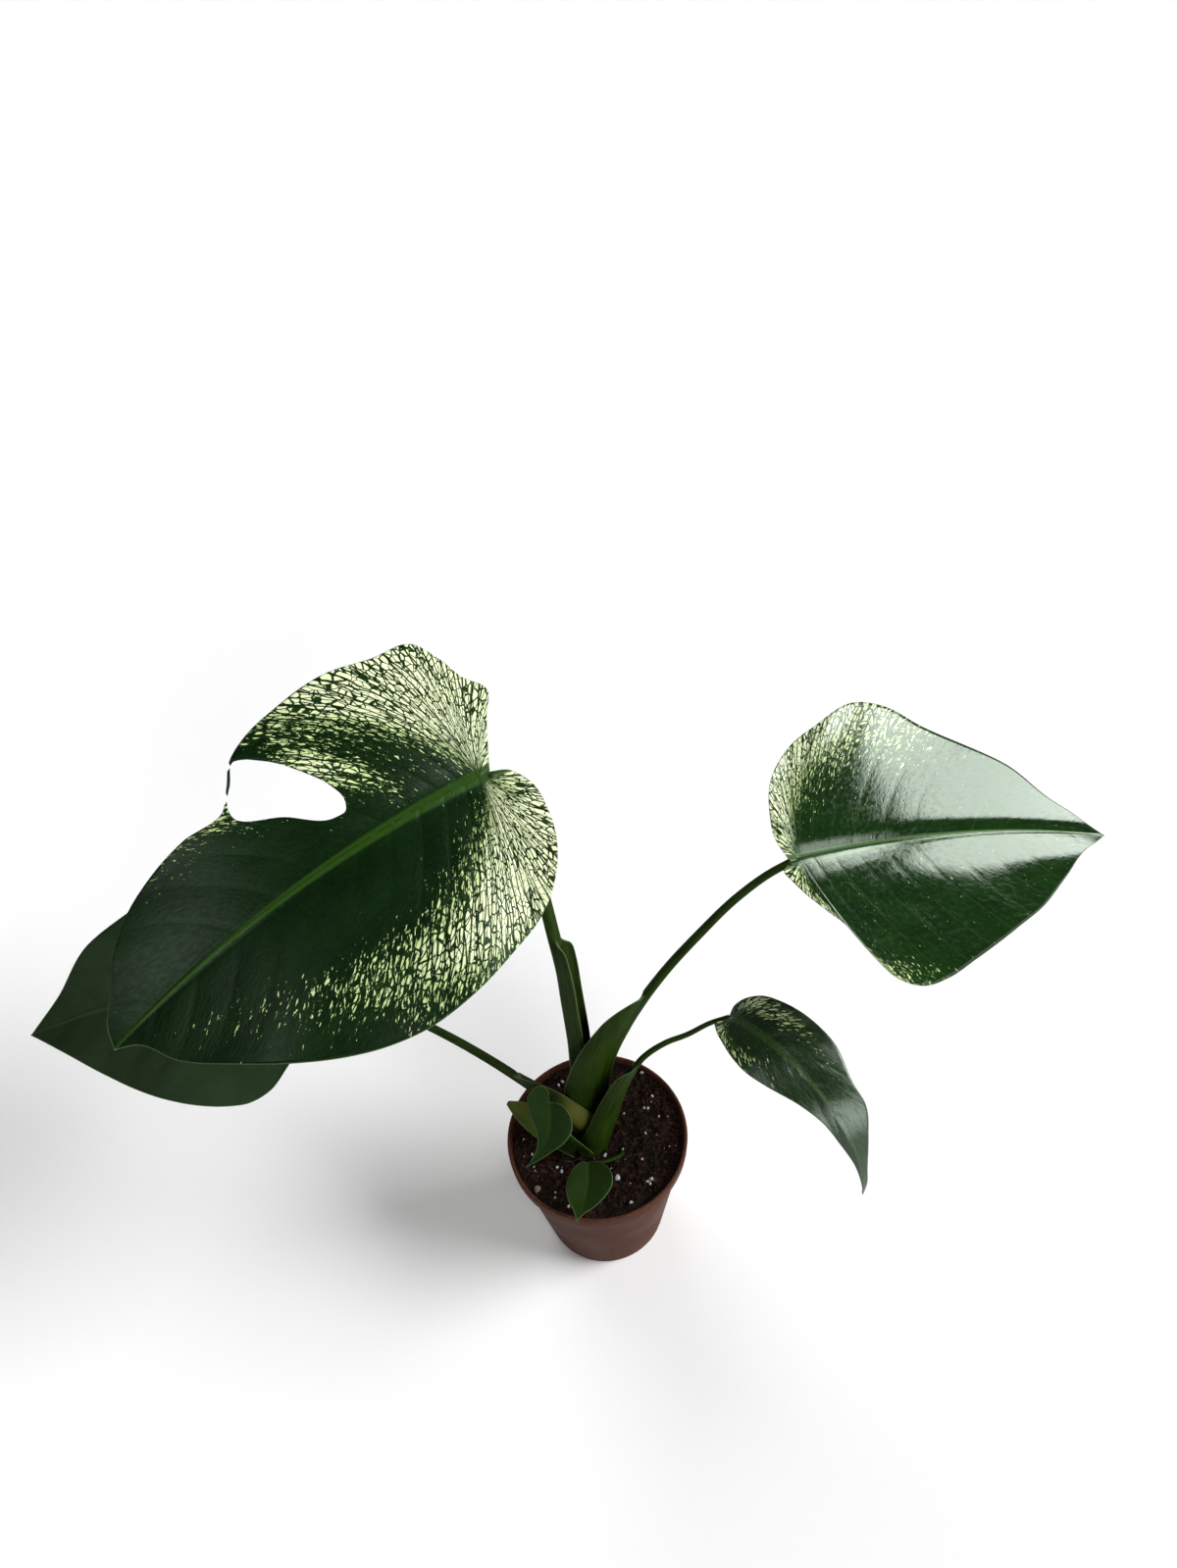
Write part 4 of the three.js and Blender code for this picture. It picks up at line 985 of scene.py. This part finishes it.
def marbling_group():
    """Where a blade's cells have no green: specks drawn out along the veins, which merge where the leaf
    is palest and are then parted by a net of green veins. Round the specks the green is thinner."""
    tree, given, result = new_group("marbling", {
        "Veins": "Vector", "Paleness": "Float", "Off Vein": "Float",
    }, {"Cream": "Float", "Thin": "Float"})
    veins, pale = given["Veins"], given["Paleness"]
    wander = add_node(tree, "ShaderNodeTexNoise", {"Vector": veins, "Scale": 0.05, "Detail": 2.0})
    shift = add_node(tree, "ShaderNodeVectorMath", {
        0: wander.outputs["Color"], 1: (0.5, 0.5, 0.5),
    }, operation="SUBTRACT").outputs[0]
    shifted = add_node(tree, "ShaderNodeVectorMath", {
        0: shift, 1: (6, 6, 0), 2: veins,
    }, operation="MULTIPLY_ADD").outputs[0]
    where = split(tree, shifted)

    def line(across, along, wide):
        """Dark lines that run with the veins, `wide` millimetres across."""
        count = maths(tree, "MULTIPLY_ADD", where["Y"], along, maths(tree, "MULTIPLY", where["X"], across))
        return ramp(tree, maths(tree, "PINGPONG", count, 0.5), wide * across * 0.25, wide * across * 0.75)

    specks = noise(tree, scaled(tree, shifted, (0.65, 0.17, 1)), 1.0, 3, 0.62)
    patches = noise(tree, scaled(tree, shifted, (0.09, 0.035, 1)), 1.0, 2, 0.5)
    local = maths(tree, "ADD", pale, maths(tree, "MULTIPLY_ADD", patches, 0.6, -0.3))
    above = maths(tree, "SUBTRACT", specks, maths(tree, "MULTIPLY_ADD", local, -0.42, 0.765))
    long_veins = maths(tree, "MULTIPLY", line(0.16, 0.004, 1.2), line(0.085, 0.019, 1.2))
    net = add_node(tree, "ShaderNodeTexVoronoi", {
        "Vector": scaled(tree, shifted, (0.27, 0.17, 1)), "Scale": 1.0,
    }, feature="DISTANCE_TO_EDGE").outputs["Distance"]
    broken = ramp(tree, patches, 0.3, 0.6, 0.02, 0.09)
    short_veins = ramp(tree, maths(tree, "SUBTRACT", net, broken), -0.01, 0.03)
    main = ramp(tree, given["Off Vein"], 0.2, 0.6)
    parted = maths(tree, "MULTIPLY", maths(tree, "MULTIPLY", long_veins, short_veins), main)
    connect(tree, result, {
        "Cream": maths(tree, "MULTIPLY", ramp(tree, above, -0.003, 0.006), parted),
        "Thin": maths(tree, "MULTIPLY", ramp(tree, above, -0.07, 0.0), long_veins),
    })
    return tree


def leaf_green_group():
    """The colour of an upper skin: its green clouded, thin round the specks and paler on veins and rim, the
    cream of its marbling, and its midrib, whose middle may take painted shade, leaving its edges pale."""
    tree, given, result = new_group("leaf_green", {
        "Veins": "Vector", "Off Vein": "Float", "Off Rib": "Float", "Off Margin": "Float",
        "Paleness": "Float", "Cream": "Float", "Thin": "Float", "Groove Shade": "Float",
        "Dark": "Color", "Light": "Color", "Rib": "Color",
    }, {"Color": "Color"})
    veins, rib, dark, groove_shade = given["Veins"], given["Rib"], given["Dark"], given["Groove Shade"]
    cloud = noise(tree, veins, 0.035, 3, 0.6)
    green = blend(tree, ramp(tree, cloud, 0.3, 0.7), dark, given["Light"])
    thinned = blend(tree, maths(tree, "MULTIPLY", given["Thin"], 0.35), green, THIN_GREEN)
    veined = blend(tree, ramp(tree, given["Off Vein"], 0.9, 0.2, 0, 0.12), thinned, rib)
    creamy = blend(tree, noise(tree, veins, 0.12, 2), CREAM, LIME)
    whiter = blend(tree, ramp(tree, given["Paleness"], 0.6, 1.0), creamy, WHITE_CREAM)
    marbled = blend(tree, given["Cream"], veined, whiter)
    # With shade in the midrib's channel, the pale band narrows to two edges and its middle gets the dark
    # green as painted shade
    rib_edge = maths(tree, "MULTIPLY_ADD", groove_shade, -0.3, 1.35)
    ribbed = blend(tree, ramp(tree, given["Off Rib"], rib_edge, 0.75), marbled, rib)
    groove_shaded = blend(tree, ramp(tree, given["Off Rib"], 0.35, 0.15, 0, groove_shade), ribbed, dark)
    rimmed = blend(tree, ramp(tree, given["Off Margin"], 0.8, 0.2, 0, 0.45), groove_shaded, RIM_GREEN)
    connect(tree, result, {"Color": rimmed})
    return tree


def cuticle_group():
    """The height of a blade's skin between its veins: fine cross veins and a slight leathery pucker."""
    tree, given, result = new_group("cuticle", {"Veins": "Vector"}, {"Height": "Float"})
    cross_veins = noise(tree, scaled(tree, given["Veins"], (0.5, 0.22, 1)), 1.0, 3, 0.55)
    pucker = noise(tree, given["Veins"], 0.9, 2, 0.5)
    connect(tree, result, {"Height": maths(tree, "MULTIPLY_ADD", pucker, 0.45, cross_veins)})
    return tree


def blade_finish(name, dark, light, rib, roughness, shine, fineness=1.0, groove_shade=0.0, pucker=0.3):
    """A leaf's upper skin: waxy green, lighter along the midrib, with the pale marbling of its blade."""
    material, tree, shader = new_material(name)
    veins = read_map(tree, "vein_mm")[0]
    off_rib, off_margin = read_map(tree, "rib_mm")[1][:2]
    pale, off_vein = read_map(tree, "tone")[1][:2]
    marble = add_group(tree, MARBLING, {
        "Veins": scaled(tree, veins, (fineness, fineness, 1)), "Paleness": pale, "Off Vein": off_vein,
    })
    green = add_group(tree, LEAF_GREEN, {
        "Veins": veins, "Off Vein": off_vein, "Off Rib": off_rib, "Off Margin": off_margin,
        "Paleness": pale, "Cream": marble["Cream"], "Thin": marble["Thin"], "Groove Shade": groove_shade,
        "Dark": dark, "Light": light, "Rib": rib,
    })
    skin = add_group(tree, CUTICLE, {"Veins": veins})
    broad = bumped(tree, read_map(tree, "dip_mm")[1]["X"], 1.0, 0.001)
    connect(tree, shader, {
        "Base Color": green["Color"],
        "Roughness": ramp(tree, noise(tree, veins, 0.3, 2), 0.3, 0.7, roughness - 0.05, roughness + 0.08),
        "Specular IOR Level": shine,
        "Specular Tint": (0.86, 1.0, 0.86),
        "Normal": bumped(tree, skin["Height"], pucker, 0.0005, Normal=broad),
    })
    return material


def underside_finish():
    """A leaf's underside: matt and lighter, with its marbling dulled."""
    material, tree, shader = new_material("underside_skin")
    veins = read_map(tree, "vein_mm")[0]
    pale, off_vein = read_map(tree, "tone")[1][:2]
    marble = add_group(tree, MARBLING, {"Veins": veins, "Paleness": pale, "Off Vein": off_vein})
    skin = add_group(tree, CUTICLE, {"Veins": veins})
    green = blend(tree, noise(tree, veins, 0.1, 3), UNDER_GREEN, UNDER_LIGHT)
    connect(tree, shader, {
        "Base Color": blend(tree, maths(tree, "MULTIPLY", marble["Cream"], 0.75), green, UNDER_CREAM),
        "Roughness": 0.6,
        "Normal": bumped(tree, skin["Height"], 0.3, 0.0004),
    })
    return material


MARBLING = marbling_group()
LEAF_GREEN = leaf_green_group()
CUTICLE = cuticle_group()
underside = underside_finish()
for leaf_name, own_values in LEAVES.items():
    leaf = {**PLAIN_BLADE, **own_values}
    leaf_blade = blade(leaf_name, leaf)
    leaf_blade.data.materials.append(blade_finish(**leaf["skin"]))
    leaf_blade.data.materials.append(underside)
    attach(leaf_blade, "root")
    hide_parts(f"blade_{leaf_name}")


# The studio: a plain pale floor under soft lights, and the camera where the photograph was taken from,
# above the leaves and in front of the pot, turned a few degrees on its own axis.
FLOOR_REACH = 6000
ROOM_LIGHT = 0.06
SEEN_LIGHT = 0.92
CAMERA_PLACE = Vector((0.0164, -0.3797, 0.8268))
CAMERA_RIGHT = Vector((0.996, -0.067, -0.066))
CAMERA_UP = Vector((0.094, 0.712, 0.696))
PHOTO_HEIGHT_PX = 1599
FOCAL_PX = 1200
SENSOR = 36


def soft_sun(name, come_from, breadth, strength, kept_from=None):
    """Even soft light over the whole floor, from a round patch of the given breadth in degrees. It can be
    kept from one kind of ray."""
    lamp = bpy.data.lights.new(name, "SUN")
    lamp.angle = math.radians(breadth)
    lamp.energy = strength
    holder = bpy.data.objects.new(name, lamp)
    holder.rotation_euler = Vector(come_from).to_track_quat("Z", "Y").to_euler()
    bpy.context.scene.collection.objects.link(holder)
    if kept_from:
        setattr(holder, kept_from, False)


floor_corners = [(x * FLOOR_REACH, y * FLOOR_REACH, 0) for x, y in ((-1, -1), (1, -1), (1, 1), (-1, 1))]
floor = new_piece("floor", floor_corners, [[0, 1, 2, 3]])
floor_material, floor_tree, floor_shader = new_material("studio_floor")
connect(floor_tree, floor_shader, {
    "Base Color": (0.9, 0.9, 0.9), "Roughness": 0.9, "Specular IOR Level": 0.1,
})
floor.data.materials.append(floor_material)

# The room around is a faint light, and near white where the camera looks past the floor
world = bpy.data.worlds.new("studio")
bpy.context.scene.world = world
world.use_nodes = True
room = world.node_tree
seen = add_node(room, "ShaderNodeLightPath").outputs["Is Camera Ray"]
level = maths(room, "MULTIPLY_ADD", seen, SEEN_LIGHT, ROOM_LIGHT)
connect(room, room.nodes["Background"], {"Color": (1, 1, 1), "Strength": level})

soft_sun("window", (0.80, -0.06, 0.50), 38, 4.4)
soft_sun("front_window", (0.35, -0.84, 0.30), 34, 1.5)
soft_sun("back_wall", (-0.35, 0.82, 0.45), 50, 1.5, "visible_glossy")
# Small overhead lights that show only in the gloss of the leaves
soft_sun("overhead_right", (0.455, 0.035, 0.885), 17, 1.0, "visible_diffuse")
soft_sun("overhead_front", (-0.45, -0.47, 0.76), 22, 0.5, "visible_diffuse")
soft_sun("overhead_left", (-0.45, -0.19, 0.87), 14, 0.15, "visible_diffuse")
bpy.context.scene.view_settings.view_transform = "Standard"

camera_data = bpy.data.cameras.new("camera")
camera_data.sensor_fit = "VERTICAL"
camera_data.sensor_height = SENSOR
camera_data.lens = SENSOR * FOCAL_PX / PHOTO_HEIGHT_PX
camera = bpy.data.objects.new("camera", camera_data)
right = CAMERA_RIGHT.normalized()
back = right.cross(CAMERA_UP).normalized()
up = back.cross(right)
turned_to = Matrix((right, up, back)).transposed()
camera.matrix_world = Matrix.Translation(CAMERA_PLACE) @ turned_to.to_4x4()
bpy.context.scene.collection.objects.link(camera)
bpy.context.scene.camera = camera
